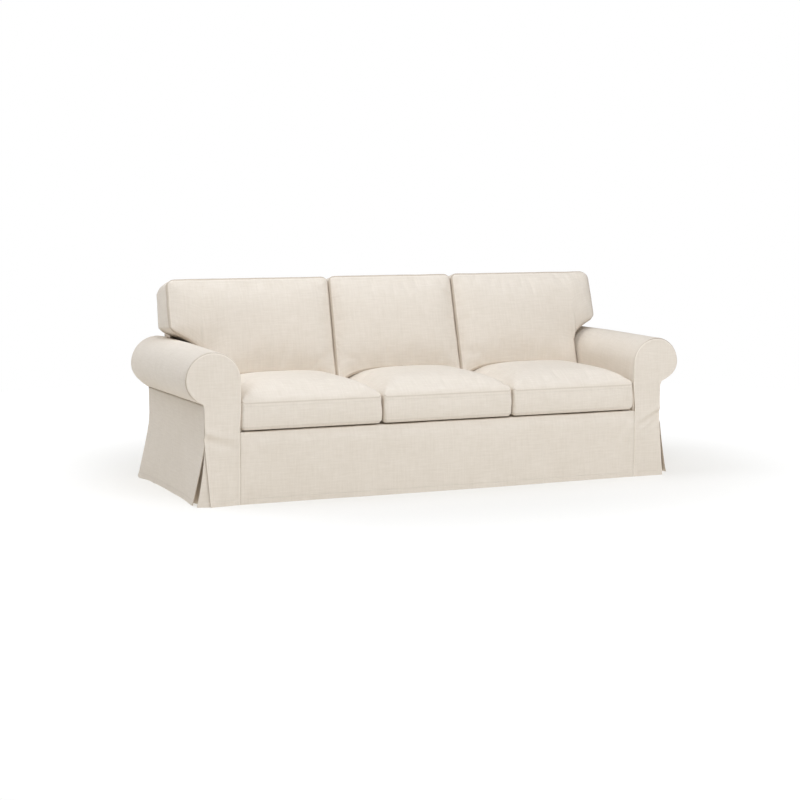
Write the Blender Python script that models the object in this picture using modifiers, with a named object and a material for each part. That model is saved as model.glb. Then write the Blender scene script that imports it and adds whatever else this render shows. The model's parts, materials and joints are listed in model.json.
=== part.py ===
"""A fitted slipcover for a three-seat sofa with rolled arms, standing as it hangs on the sofa.

The cover is sewn from flat panels: a front apron, a seat deck, and for each arm a scroll-topped front,
a length that wraps the inside and the roll, an outside panel and a scroll-topped rear end. The back has an
inside, an outside and a boxing band between them. An underlay stands in each of the four corner pleats.
Three boxed seat cushions and three boxed back cushions wear the same cloth, filled.

Metres. x runs along the sofa, the front faces -y and z = 0 is the floor. Inside the functions, y is
measured backwards from the plane of the front; FRONT_Y moves that plane to its place. Sizes that differ
from one arm to the other are kept by side, -1 for the left and 1 for the right.
"""

import math
from collections import namedtuple

import bmesh
import bpy
from mathutils import Vector

SIDES = (-1, 1)
HANDS = {-1: "left", 0: "middle", 1: "right"}

# --- the sofa's outline under the cloth ---
FRONT_Y = -0.4343
SEAT_HALF = 0.871         # from the middle to the inside of an arm
ARM_DEPTH = 0.845
DECK_Z = 0.286
RAIL_EDGE_R = 0.012       # the front rail's rounded top edge
ROLL_X = 0.980
ROLL_Z = 0.486
ROLL_R = 0.109
ROLL_FULLER = 0.004       # how much more the roll holds half-way along
ROLL_END_DRAW = 0.002     # how much the seams at its ends draw it in
ROLL_END_ROUND = 0.010
NECK_Z = 0.392            # the seam under the roll
SCROLL_PUFF = 0.004
BACK_TOP_Z = 0.790
WING_HALF = 0.945
WING_CORNER_R = 0.030
WING_CLEAR_R = 0.1145     # the underside of a wing, about the roll's centre
WING_START = math.radians(12)   # where it leaves the arm, above the roll's inner side

# --- the cloth ---
CLOTH = 0.002
SEAM = 0.0003             # what parts two pieces that are sewn to each other
TUCK = CLOTH + SEAM       # from the face of a panel to a piece that ends behind it
APRON_LAP = 0.050         # how far the apron reaches under the cushions
WELD = 0.00001

# --- the skirt: how far each side hangs out of plumb at the floor ---
SKIRT_TOP_Z = 0.25
PLEAT_TOP_Z = 0.225
FLARE_POWER = 1.15
REAR_FLARE = 0.030
PLEAT_SET_BACK = 0.060    # how far an outside panel stands back from the corner at the floor
REAR_PLEAT_SET_BACK = 0.005
SIDE_HEM_Z = 0.0007       # the outside of a flared hem, whose inner edge hangs to the floor
REAR_HEM_Z = 0.0004
LEG_X = {-1: 1.0175, 1: 1.000}
LEG_FOOT_X = {-1: 0.9995, 1: 1.018}
LEG_REAR_FOOT_X = {-1: 1.004, 1: 0.992}
SCROLL_R = {-1: 0.1075, 1: 0.1035}
NECK_TURN = {-1: 0.6, 1: 1.5}   # radians over which the roll fills out from its neck

# Distance behind the front, and how far the left and the right outside panel stand out there at the floor.
SIDE_FLARE = (
    # behind, left, right
    (0.000, 0.036, 0.076),
    (0.060, 0.036, 0.075),
    (0.223, 0.029, 0.052),
    (0.488, 0.031, 0.046),
    (0.694, 0.041, 0.053),
    (0.800, 0.062, 0.070),
    (0.845, 0.055, 0.066),
)

# Place along the front, and how far the hem sways behind the front plane there.
HEM_SWAY = (
    # x, sway
    (-1.020, -0.008),
    (-0.940, 0.002),
    (-0.870, 0.009),
    (-0.600, 0.008),
    (-0.210, -0.001),
    (0.240, -0.006),
    (0.560, 0.001),
    (0.880, 0.002),
    (1.020, -0.001),
)

# Drag creases that run from the tops of the pleats, on the front of the cover. Depth goes into the cloth.
CREASE_FADE = 0.6         # how much shallower a crease is at its far end
CREASES = (
    # from_x, from_z, to_x, to_z, half_width, depth
    (-0.998, 0.276, -0.938, 0.252, 0.010, 0.0038),
    (-0.994, 0.254, -0.918, 0.223, 0.011, -0.0035),
    (0.981, 0.275, 0.903, 0.251, 0.010, 0.0038),
    (0.979, 0.252, 0.915, 0.222, 0.011, -0.0030),
    (0.846, 0.248, 0.796, 0.175, 0.013, 0.0030),
    (-0.800, 0.250, -0.755, 0.190, 0.014, 0.0015),
)

# The underlay of a corner pleat. Distances run from the edge of the panel that they start at.
UNDERLAY_TOP_Z = 0.238
UNDERLAY_LAP = 0.065      # behind the end panel
UNDERLAY_BEHIND = 0.0026  # from the back of the end panel to the face of the underlay
UNDERLAY_FOLDS = (
    # from the pleat's top to the floor: high, low
    (0.009, 0.004),       # the end panel's edge in to the first fold
    (0.006, 0.010),       # the outside panel's edge back to the second fold
    (0.0005, 0.012),      # the outside panel in to the second fold
    (0.105, 0.070),       # the outside panel's edge back to the underlay's own edge
    (0.0005, 0.014),      # the outside panel in to that edge
)
UNDERLAY_BENDS = (0.0, 0.34, 0.62, 1.0)   # where the folds lie across its width

# --- the cushions ---
SEAM_HALF = 0.2876        # from a seat cushion's middle to its side seam
CUSHION_PITCH = 2 * SEAT_HALF / 3
HALF_PARTING = 0.0030     # from a back cushion's side seam to the middle of the gap beside it
SEAT_BACK_Y = 0.695
SEAT_SEAM_Z = 0.392
SEAT_CROWN = 0.084
SEAT_CORNER_R = 0.014
SEAT_EDGE_R = 0.007       # the rounded edge along its bottom
SEAT_SAT_ON = 0.45        # how much lower the crown is under the back cushions
SAT_ON_FROM_Y = 0.36
SAT_ON_TO_Y = 0.62
REST = 0.0005             # what parts a cushion and what carries it
BOX_SWELL = 0.0022
BACK_FRONT_Y = 0.493      # where the front seams of a back cushion stand at LEAN_Z
BACK_FRONT_LEAN = 0.310   # how far they go backwards for each metre that they rise
BACK_LOW_Z = 0.455
BACK_TOP_SEAM_Z = 0.851
BACK_REAR_DROP = 0.045    # how far the top slopes down towards its rear seam
BACK_DROP_FROM_Z = 0.60
BACK_CROWN = 0.042
BACK_CORNER_R = 0.030
BACK_ARM_X = 0.868        # where an outer back cushion stands beside its arm
EAR_X = {-1: 0.9955, 1: 0.991}
EAR_Z = 0.560
EAR_REACH = 0.10          # how far the ear's lower edge takes to rise
EAR_FOOT_Z = (0.548, 0.634)     # that edge beside the arm and at the ear's side
EAR_LOW_CORNER_R = 0.018
FOOT_LEVEL = 0.05         # the height over which a back cushion's foot follows the seat
LIFT_OFF_SEAT = 0.0042
CUSHION_COLUMNS = 13      # the same on a seat cushion and the back cushion that rests on it
CUSHION_LAYERS = 3
SEAT_FILL_REACH = 0.26    # how far from its seams a face reaches its full crown
BACK_FILL_REACH = 0.21
FILL_BLEND = 3.0          # how softly the slopes from two seams meet
FILL_ROUND = 2.2
FILL_RISE = 0.62

# --- the sofa's back, more upright than the cushions that lean on it ---
LEAN = 0.140              # how far it goes backwards for each metre that it rises
LEAN_Z = 0.45
LEAN_Y = 0.7255           # where it stands at LEAN_Z

CLOTH_COLOUR = (0.76, 0.70, 0.61, 1.0)


def smooth(value):
    value = min(max(value, 0.0), 1.0)
    return value * value * (3 - 2 * value)


def mix(low, high, share):
    return low + (high - low) * share


def read_table(table, key, column):
    """The column's value at the key, eased between the rows of the table."""
    if key <= table[0][0]:
        return table[0][column]
    for row, following in zip(table, table[1:]):
        if key <= following[0]:
            share = (key - row[0]) / (following[0] - row[0])
            return mix(row[column], following[column], smooth(share))
    return table[-1][column]


def skirt(z):
    """How much of its floor flare a panel has at height z."""
    return max(0.0, (SKIRT_TOP_Z - z) / SKIRT_TOP_Z) ** FLARE_POWER


def crease(x, z, row):
    from_x, from_z, to_x, to_z, half_width, depth = row
    run_x, run_z = to_x - from_x, to_z - from_z
    along = ((x - from_x) * run_x + (z - from_z) * run_z) / (run_x**2 + run_z**2)
    near = min(max(along, 0.0), 1.0)
    away = math.hypot(x - from_x - near * run_x, z - from_z - near * run_z)
    return depth * (1 - CREASE_FADE * near) * math.exp(-((away / half_width) ** 2))


def front_face(x, z):
    """The y of the cover's front at a place along it: the swaying hem and the creases."""
    sway = read_table(HEM_SWAY, x, 1) * skirt(z)
    return sway + sum(crease(x, z, row) for row in CREASES)


def side_face(side, y, z):
    """The distance from the sofa's middle to an arm's outside panel."""
    column = 1 if side < 0 else 2
    return LEG_X[side] + read_table(SIDE_FLARE, y, column) * skirt(z)


def rear_face(z):
    return ARM_DEPTH + REAR_FLARE * skirt(z)


def inside_back_y(z):
    return LEAN_Y + LEAN * (z - LEAN_Z)


def pleat(z):
    """0 at the top of a corner pleat and above, 1 at the floor."""
    return min(max((PLEAT_TOP_Z - z) / PLEAT_TOP_Z, 0.0), 1.0)


def place(x, y, z):
    return Vector((x, y + FRONT_Y, z))


def cloth_material():
    material = bpy.data.materials.new("natural_linen_weave")
    material.use_nodes = True
    shader = material.node_tree.nodes["Principled BSDF"]
    shader.inputs["Base Color"].default_value = CLOTH_COLOUR
    shader.inputs["Roughness"].default_value = 0.9
    shader.inputs["Metallic"].default_value = 0.0
    return material


def add_object(name, mesh_maker, material, collection):
    mesh = bpy.data.meshes.new(name)
    mesh_maker.to_mesh(mesh)
    mesh_maker.free()
    mesh.materials.append(material)
    mesh.shade_smooth()
    piece = bpy.data.objects.new(name, mesh)
    collection.objects.link(piece)
    return piece


class Workroom:
    """Cuts the pieces of the cover and keeps them in one collection."""

    def __init__(self, title):
        self.collection = bpy.data.collections.new(title)
        bpy.context.scene.collection.children.link(self.collection)
        self.material = cloth_material()

    def sheet(self, name, columns, rows, shape, inside):
        """A cut of cloth: a grid laid out by shape(s, t), with its thickness towards the point inside."""
        maker = bmesh.new()
        bmesh.ops.create_grid(maker, x_segments=columns, y_segments=rows, size=0.5)
        for vert in maker.verts:
            vert.co = shape(vert.co.x + 0.5, vert.co.y + 0.5)
        bmesh.ops.remove_doubles(maker, verts=maker.verts, dist=WELD)
        maker.normal_update()
        outward = sum(
            face.normal.dot(face.calc_center_median() - inside) * face.calc_area()
            for face in maker.faces
        )
        if outward < 0:
            bmesh.ops.reverse_faces(maker, faces=maker.faces)
        piece = add_object(name, maker, self.material, self.collection)
        wall = piece.modifiers.new("cloth", "SOLIDIFY")
        wall.thickness = CLOTH
        wall.offset = -1
        return piece

    def cushion(self, name, lines_u, lines_v, shape, cut_out=None):
        """A filled cushion: a grid of pattern lines, raised in layers and laid out by shape(u, v, w).

        w is 0 on the face and 1 on the underside. cut_out(u, v) is true where the pattern has no cloth.
        """
        maker = bmesh.new()
        count_u, count_v = len(lines_u) - 1, len(lines_v) - 1
        bmesh.ops.create_grid(maker, x_segments=count_u, y_segments=count_v, size=0.5)
        for vert in maker.verts:
            column = round((vert.co.x + 0.5) * count_u)
            row = round((vert.co.y + 0.5) * count_v)
            vert.co = Vector((lines_u[column], lines_v[row], 0.0))
        if cut_out:
            gone = [face for face in maker.faces if cut_out(*face.calc_center_median().xy)]
            bmesh.ops.delete(maker, geom=gone, context="FACES")
        cap = list(maker.faces)
        for layer in range(CUSHION_LAYERS):
            grown = bmesh.ops.extrude_face_region(maker, geom=cap)["geom"]
            if layer:
                bmesh.ops.delete(maker, geom=cap, context="FACES")
            cap = [part for part in grown if isinstance(part, bmesh.types.BMFace)]
            moved = [part for part in grown if isinstance(part, bmesh.types.BMVert)]
            bmesh.ops.translate(maker, verts=moved, vec=(0, 0, 1 / CUSHION_LAYERS))
        depth_of = {vert: vert.co.z for vert in maker.verts}
        for vert in maker.verts:
            vert.co = shape(*vert.co)
        bmesh.ops.recalc_face_normals(maker, faces=maker.faces)
        if maker.calc_volume(signed=True) < 0:
            bmesh.ops.reverse_faces(maker, faces=maker.faces)
        maker.normal_update()
        half_layer = 0.5 / CUSHION_LAYERS
        swollen = {
            vert: vert.co + vert.normal * BOX_SWELL * math.sin(math.pi * depth)
            for vert, depth in depth_of.items()
            if half_layer < depth < 1 - half_layer
        }
        for vert, where in swollen.items():
            vert.co = where
        return add_object(name, maker, self.material, self.collection)


# --- the front ---


def cut_front_apron(room):
    """From one arm front to the other: up from the floor, over the front rail and in under the cushions."""
    face_rows, edge_rows, lap_rows = 9, 3, 1
    rows = face_rows + edge_rows + lap_rows
    half = SEAT_HALF - SEAM / 2
    edge_z = DECK_Z - RAIL_EDGE_R

    def shape(s, t):
        x = mix(-half, half, s)
        row = t * rows
        if row <= face_rows:
            z = mix(0, edge_z, row / face_rows)
            return place(x, front_face(x, z), z)
        if row <= face_rows + edge_rows:
            turn = math.pi / 2 * (row - face_rows) / edge_rows
            y = mix(front_face(x, edge_z), 0.0, math.sin(turn)) + RAIL_EDGE_R * (1 - math.cos(turn))
            return place(x, y, edge_z + RAIL_EDGE_R * math.sin(turn))
        return place(x, APRON_LAP, DECK_Z)

    return room.sheet("front_apron", 26, rows, shape, place(0, 0.2, 0.1))


def cut_seat_deck(room):
    """The platform under the seat cushions."""
    front = APRON_LAP + SEAM
    rear = inside_back_y(DECK_Z) + CLOTH
    half = SEAT_HALF + CLOTH

    def shape(s, t):
        return place(mix(-half, half, s), mix(front, rear, t), DECK_Z)

    return room.sheet("seat_deck", 8, 3, shape, place(0, 0.3, 0.1))


# --- the arms ---

# One end of an arm: face(x, z) gives its y, foot_x its outer edge at the floor on each side.
ArmEnd = namedtuple("ArmEnd", "face foot_x hem_z columns leg_rows scroll_rows")


def cut_arm_end(room, name, side, end):
    """A scroll-topped end of an arm, from the floor to the top of the roll."""
    radius = SCROLL_R[side]
    neck_turn = -math.acos((LEG_X[side] - ROLL_X) / radius)
    neck_z = ROLL_Z + radius * math.sin(neck_turn)
    rows = end.leg_rows + end.scroll_rows
    inner_leg = SEAT_HALF + SEAM / 2

    def shape(s, t):
        row = t * rows
        if row <= end.leg_rows:
            z = mix(end.hem_z, neck_z, row / end.leg_rows)
            x = mix(inner_leg, mix(LEG_X[side], end.foot_x[side], pleat(z)), s)
        else:
            turn = mix(neck_turn, math.pi / 2, (row - end.leg_rows) / end.scroll_rows)
            z = ROLL_Z + radius * math.sin(turn)
            inner = ROLL_X - (ROLL_R - SEAM) * math.cos(max(turn, 0.0))
            x = mix(inner, ROLL_X + radius * math.cos(turn), s)
        return place(side * x, end.face(side * x, z), z)

    room.sheet(name, end.columns, rows, shape, place(side * ROLL_X, ARM_DEPTH / 2, 0.3))


def arm_front_face(x, z):
    """The front of an arm, where the scroll puffs out a little over its filling."""
    away = math.hypot(abs(x) - ROLL_X, z - ROLL_Z) / ROLL_R
    return front_face(x, z) - SCROLL_PUFF * max(0.0, 1 - away**2)


def cut_arm_ends(room):
    front = ArmEnd(arm_front_face, LEG_FOOT_X, 0.0, columns=9, leg_rows=17, scroll_rows=10)
    rear = ArmEnd(
        lambda x, z: rear_face(z), LEG_REAR_FOOT_X, REAR_HEM_Z, columns=5, leg_rows=8, scroll_rows=8
    )
    for side in SIDES:
        cut_arm_end(room, f"arm_front_{HANDS[side]}", side, front)
        cut_arm_end(room, f"arm_back_{HANDS[side]}", side, rear)


def roll_radius(side, turn, y):
    """The roll under its cloth: drawn in at the neck and at both ends, a little fuller half-way along."""
    neck_turn = math.atan2(NECK_Z - ROLL_Z, LEG_X[side] - ROLL_X)
    neck_r = math.hypot(NECK_Z - ROLL_Z, LEG_X[side] - ROLL_X)
    over_top = smooth((math.pi - turn) / 0.8)
    full = ROLL_R + ROLL_FULLER * math.sin(math.pi * y / ARM_DEPTH) * over_top
    radius = mix(neck_r, full, smooth((turn - neck_turn) / NECK_TURN[side]))
    end_distance = min(y - TUCK, ARM_DEPTH - TUCK - y)
    end_round = max(0.0, 1 - end_distance / ROLL_END_ROUND)
    return radius - ROLL_END_DRAW * end_round**2


def roll_stations():
    """Places along the roll, closer where its ends are drawn in."""
    length = ARM_DEPTH - 2 * TUCK
    near = (0.0, 0.4 * ROLL_END_ROUND, ROLL_END_ROUND)
    evenly = [mix(near[-1], length - near[-1], step / 8) for step in range(1, 8)]
    return list(near) + evenly + [length - distance for distance in reversed(near)]


def cut_arm_rolls(room):
    """The length from the seam under the roll, over the roll and down the inside to the deck."""
    stations = roll_stations()
    last = len(stations) - 1
    arc_columns, inside_columns = 22, 3
    columns = arc_columns + inside_columns
    wing_from, wing_to = math.radians(100), math.radians(125)

    def rear_end(turn, z):
        """The cloth ends at the arm's rear, and against the inside back where the back stands in its way."""
        under_wing = smooth((turn - wing_from) / (wing_to - wing_from))
        return mix(ARM_DEPTH - TUCK, inside_back_y(z) - SEAM, under_wing)

    for side in SIDES:
        neck_turn = math.atan2(NECK_Z - ROLL_Z, LEG_X[side] - ROLL_X)

        def shape(s, t, side=side, neck_turn=neck_turn):
            share = stations[round(t * last)] / stations[-1]
            column = s * columns
            turn = mix(neck_turn, math.pi, min(column / arc_columns, 1.0))
            down = max(0.0, (column - arc_columns) / inside_columns)
            nearly_z = mix(ROLL_Z + ROLL_R * math.sin(turn), DECK_Z + SEAM, down)
            y = mix(TUCK, rear_end(turn, nearly_z), share)
            radius = roll_radius(side, turn, y)
            z = mix(ROLL_Z + radius * math.sin(turn), DECK_Z + SEAM, down)
            return place(side * (ROLL_X + radius * math.cos(turn)), y, z)

        inside = place(side * ROLL_X, ARM_DEPTH / 2, ROLL_Z)
        room.sheet(f"arm_roll_{HANDS[side]}", columns, last, shape, inside)


def cut_arm_sides(room):
    """The outside of an arm, from the seam under the roll to the floor, open at the pleats."""
    top_z = NECK_Z - 2 * SEAM
    front_gap = TUCK + SEAM
    rear_draw = 0.003

    for side in SIDES:

        def shape(s, t, side=side):
            z = mix(SIDE_HEM_Z, top_z, t)
            corner = max(front_face(side * LEG_X[side], z), 0.0)
            front = corner + front_gap + (PLEAT_SET_BACK - front_gap) * pleat(z)
            rear = ARM_DEPTH - TUCK - rear_draw * pleat(z)
            y = mix(front, rear, s)
            return place(side * side_face(side, y, z), y, z)

        room.sheet(f"arm_side_{HANDS[side]}", 14, 12, shape, place(0, ARM_DEPTH / 2, 0.2))


# --- the pleats ---


def underlay_plan(side, at_front, z):
    """The corners of a folded underlay at height z, as (distance from the middle, distance from its end)."""
    down = pleat(z)
    turn_in, corner_back, corner_in, run_back, run_in = (
        mix(high, low, down) for high, low in UNDERLAY_FOLDS
    )
    foot_x = LEG_FOOT_X if at_front else LEG_REAR_FOOT_X
    edge_x = mix(LEG_X[side], foot_x[side], down)
    edge_d = mix(TUCK, PLEAT_SET_BACK if at_front else REAR_PLEAT_SET_BACK, down)

    def behind_end(x):
        face = front_face(side * x, z) if at_front else -REAR_FLARE * skirt(z)
        return face + CLOTH + UNDERLAY_BEHIND

    def behind_side(d):
        return side_face(side, d if at_front else ARM_DEPTH - d, z) - CLOTH

    inner_x = edge_x - UNDERLAY_LAP
    turn_x = edge_x - turn_in
    corner_d = edge_d + corner_back
    run_d = edge_d + run_back
    return (
        (inner_x, behind_end(inner_x)),
        (turn_x, behind_end(turn_x)),
        (behind_side(corner_d) - corner_in, corner_d),
        (behind_side(run_d) - run_in, run_d),
    )


def cut_pleat_underlays(room):
    """The folded piece in a corner pleat: behind the end panel, across the corner, behind the side."""
    for end in ("front", "rear"):
        for side in SIDES:

            def shape(s, t, side=side, at_front=end == "front"):
                z = mix(SIDE_HEM_Z, UNDERLAY_TOP_Z, t)
                corners = underlay_plan(side, at_front, z)
                section = max(index for index in range(3) if s >= UNDERLAY_BENDS[index] - WELD)
                low, high = UNDERLAY_BENDS[section : section + 2]
                share = (s - low) / (high - low)
                x, d = (mix(*pair, share) for pair in zip(corners[section], corners[section + 1]))
                return place(side * x, d if at_front else ARM_DEPTH - d, z)

            name = f"pleat_underlay_{end}_{HANDS[side]}"
            room.sheet(name, 10, 6, shape, place(0, ARM_DEPTH / 2, 0.1))


# --- the back ---


def wing_arc():
    """The underside of the right wing as (x, z), round the roll and out to the wing's side."""
    end = math.acos((WING_HALF - ROLL_X) / WING_CLEAR_R)
    turns = [mix(math.pi - WING_START, end, step / 6) for step in range(7)]
    return [
        (ROLL_X + WING_CLEAR_R * math.cos(turn), ROLL_Z + WING_CLEAR_R * math.sin(turn))
        for turn in turns
    ]


def wing_side():
    """The side and the rounded top corner of the right wing as (x, z), above its underside."""
    foot_z = wing_arc()[-1][1]
    shoulder_x, shoulder_z = WING_HALF - WING_CORNER_R, BACK_TOP_Z - WING_CORNER_R
    points = [(WING_HALF, mix(foot_z, shoulder_z, step / 3)) for step in (1, 2, 3)]
    for step in (1, 2, 3):
        turn = math.pi / 2 * step / 3
        along, up = WING_CORNER_R * math.cos(turn), WING_CORNER_R * math.sin(turn)
        points.append((shoulder_x + along, shoulder_z + up))
    return points


def back_sections(from_z):
    """The back as rows of (height, half its width), from a line between the arms to its top."""
    between_arms = SEAT_HALF - 3 * SEAM
    rows = [(mix(from_z, ROLL_Z, step / 6), between_arms) for step in range(7)]
    rows += [(z, max(x, between_arms)) for x, z in wing_arc()]
    rows += [(z, x) for x, z in wing_side()]
    return rows


def cut_back_panel(room, name, columns, from_z, face, inside):
    """A panel of the back, between the arms and out over them. face(z) gives its y."""
    sections = back_sections(from_z)
    last = len(sections) - 1

    def shape(s, t):
        z, half = sections[round(t * last)]
        return place(mix(-half, half, s), face(z), z)

    room.sheet(name, columns, last, shape, inside)


def cut_back_panels(room):
    cut_back_panel(room, "outside_back", 12, REAR_HEM_Z, rear_face, place(0, 0.5, 0.4))
    cut_back_panel(room, "inside_back", 8, DECK_Z + 4 * SEAM, inside_back_y, place(0, ARM_DEPTH, 0.4))


def cut_back_band(room):
    """The boxing between the back's inside and outside: under one wing, over the top, under the other."""
    half = wing_arc() + wing_side()
    shoulder_x = half[-1][0]
    half += [(shoulder_x * (1 - step / 6), BACK_TOP_Z) for step in range(1, 7)]
    outline = [(-x, z) for x, z in half] + half[-2::-1]
    last = len(outline) - 1
    behind_inside = CLOTH * math.hypot(1, LEAN) + 4 * SEAM

    def shape(s, t):
        x, z = outline[round(s * last)]
        return place(x, mix(inside_back_y(z) + behind_inside, ARM_DEPTH - TUCK, t), z)

    room.sheet("back_band", last, 3, shape, place(0, 0.8, 0.5))


# --- the cushions ---


def pattern_lines(low, high, count, even):
    """Lines across a pattern, closer together towards its edges the less even they are."""
    lines = []
    for index in range(count + 1):
        share = index / count
        bunched = 0.5 - 0.5 * math.cos(math.pi * share)
        lines.append(mix(low, high, mix(bunched, share, even)))
    return lines


def rounded(u, v, corners):
    """Moves a pattern point in a corner onto its arc. A corner is (u, v, side_u, side_v, radius)."""
    for corner_u, corner_v, side_u, side_v, radius in corners:
        p = 1 + side_u * (u - corner_u) / radius
        q = 1 + side_v * (v - corner_v) / radius
        if p > 0 and q > 0:
            u = corner_u + side_u * radius * (p * math.sqrt(1 - min(q, 1) ** 2 / 2) - 1)
            v = corner_v + side_v * radius * (q * math.sqrt(1 - min(p, 1) ** 2 / 2) - 1)
    return u, v


def fullness(distances, reach):
    """How far a filled face has risen, 0 at its seams and 1 in the middle, from its distances to them."""
    if min(distances) <= 0:
        return 0.0
    away = sum(distance**-FILL_BLEND for distance in distances) ** (-1 / FILL_BLEND)
    return (1 - (1 - min(away / reach, 1.0)) ** FILL_ROUND) ** FILL_RISE


def seat_crown(x, y):
    """Height of a seat cushion's face over its top seam, at x from the cushion's own middle."""
    distances = (SEAM_HALF - x, SEAM_HALF + x, y, SEAT_BACK_Y - y)
    under_back = smooth((y - SAT_ON_FROM_Y) / (SAT_ON_TO_Y - SAT_ON_FROM_Y))
    return SEAT_CROWN * (1 - SEAT_SAT_ON * under_back) * fullness(distances, SEAT_FILL_REACH)


def seat_top(x, y):
    """The highest cloth of the three seat cushions at a place, or the seam height beyond them."""
    tops = [
        SEAT_SEAM_Z + seat_crown(x - index * CUSHION_PITCH, y)
        for index in (-1, 0, 1)
        if abs(x - index * CUSHION_PITCH) < SEAM_HALF and 0 < y < SEAT_BACK_Y
    ]
    return max(tops, default=SEAT_SEAM_Z)


def fill_seat_cushions(room):
    corners = [
        (side_u * SEAM_HALF, 0.0 if side_v < 0 else SEAT_BACK_Y, side_u, side_v, SEAT_CORNER_R)
        for side_u in SIDES
        for side_v in SIDES
    ]
    bottom = DECK_Z + REST
    foot_inset = 0.008
    foot_x = 1 - foot_inset / SEAM_HALF
    foot_y = 1 - foot_inset / (SEAT_BACK_Y / 2)
    columns = pattern_lines(-SEAM_HALF, SEAM_HALF, CUSHION_COLUMNS, 0.35)
    rows = pattern_lines(0.0, SEAT_BACK_Y, 12, 0.35)

    for index in (-1, 0, 1):
        middle = index * CUSHION_PITCH

        def shape(u, v, w, middle=middle):
            x, y = rounded(u, v, corners)
            on_seam = min(SEAM_HALF - abs(u), v, SEAT_BACK_Y - v) < WELD
            if w == 0:
                return place(middle + x, y, SEAT_SEAM_Z + seat_crown(x, y))
            if w < 1:
                return place(middle + x, y, mix(SEAT_SEAM_Z, bottom + SEAT_EDGE_R, w))
            if on_seam:
                return place(middle + x * foot_x, mix(SEAT_BACK_Y / 2, y, foot_y), bottom + 0.4 * SEAT_EDGE_R)
            return place(middle + x, y, bottom)

        room.cushion(f"seat_cushion_{HANDS[index]}", columns, rows, shape)


def back_point(z, w):
    """A point of a back cushion as (y, z), from the plane of its front seams to its rear plane."""
    drop = BACK_REAR_DROP * smooth((z - BACK_DROP_FROM_Z) / (BACK_TOP_SEAM_Z - BACK_DROP_FROM_Z))
    front_y = BACK_FRONT_Y + BACK_FRONT_LEAN * (z - LEAN_Z)
    return mix(front_y, inside_back_y(z - drop) - REST, w), z - drop * w


def fill_back_cushions(room):
    inner = CUSHION_PITCH / 2 - HALF_PARTING
    facing = Vector((0.0, -1.0, BACK_FRONT_LEAN)).normalized()
    rows = pattern_lines(BACK_LOW_Z, EAR_Z, 3, 0.6)[:-1] + pattern_lines(EAR_Z, BACK_TOP_SEAM_Z, 7, 0.5)

    for index in (-1, 0, 1):
        side = index or 1
        outer = BACK_ARM_X if index else inner
        far = EAR_X[index] if index else inner
        near = inner + 2 * HALF_PARTING if index else -inner
        columns = pattern_lines(near, outer, CUSHION_COLUMNS, 0.35)
        corners = [
            (near, BACK_TOP_SEAM_Z, -1, 1, BACK_CORNER_R),
            (far, BACK_TOP_SEAM_Z, 1, 1, BACK_CORNER_R),
        ]
        if index:
            columns += pattern_lines(outer, far, 4, 0.7)[1:]
            corners.append((far, EAR_Z, 1, -1, EAR_LOW_CORNER_R))

        def ear_shift(u, v, outer=outer, far=far):
            """How much the ear's lower edge has risen here: away from the roll that it overhangs."""
            rise = smooth((u - outer) / (far - outer)) ** 0.75
            near_ear = smooth((u - outer + EAR_REACH) / EAR_REACH)
            span = BACK_TOP_SEAM_Z - EAR_Z if v >= EAR_Z else EAR_Z - BACK_LOW_Z
            return (mix(*EAR_FOOT_Z, rise) - EAR_Z) * near_ear * max(0.0, 1 - abs(v - EAR_Z) / span)

        def shape(u, v, w, index=index, side=side, outer=outer, far=far, near=near,
                  corners=corners, ear_shift=ear_shift):
            x, z = rounded(u, v, corners)
            distances = [u - near, far - u, BACK_TOP_SEAM_Z - v, v - BACK_LOW_Z]
            if index:
                z += ear_shift(u, v)
                distances.append(math.hypot(max(outer - u, 0.0), max(v - EAR_Z, 0.0)))
            if v < BACK_LOW_Z + FOOT_LEVEL:
                seat = seat_top(side * x, back_point(z, 0)[0])
                z += (seat + LIFT_OFF_SEAT - BACK_LOW_Z) * (1 - (v - BACK_LOW_Z) / FOOT_LEVEL)
            where = place(side * x, *back_point(z, w))
            if w == 0:
                where += facing * BACK_CROWN * fullness(distances, BACK_FILL_REACH)
            return where

        def cut_out(u, v, outer=outer):
            return u > outer and v < EAR_Z

        name = f"back_cushion_{HANDS[index]}"
        room.cushion(name, columns, rows, shape, cut_out if index else None)


def main():
    for leftover in list(bpy.data.objects):
        bpy.data.objects.remove(leftover)
    room = Workroom("sofa_slipcover")
    cut_front_apron(room)
    cut_seat_deck(room)
    cut_arm_ends(room)
    cut_arm_rolls(room)
    cut_arm_sides(room)
    cut_pleat_underlays(room)
    cut_back_panels(room)
    cut_back_band(room)
    fill_seat_cushions(room)
    fill_back_cushions(room)


main()
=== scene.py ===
"""Cuts, sews and fills a skirted slipcover for a three-seat sofa with rolled arms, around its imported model.

Every panel is a sheet of cloth on the folds of its solid, with its seam allowances, hems and pleats. The
seat and back cushions are cut as patterns, blown up as cloth, and finished with their seams. Metres, +Z up,
x runs along the sofa and the front faces -y. Inside the shape functions, y is measured backwards from the
plane of the front, and place() moves it to FRONT_Y. Sizes that differ from one arm to the other are kept by
side, -1 for the left and 1 for the right.
"""

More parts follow.
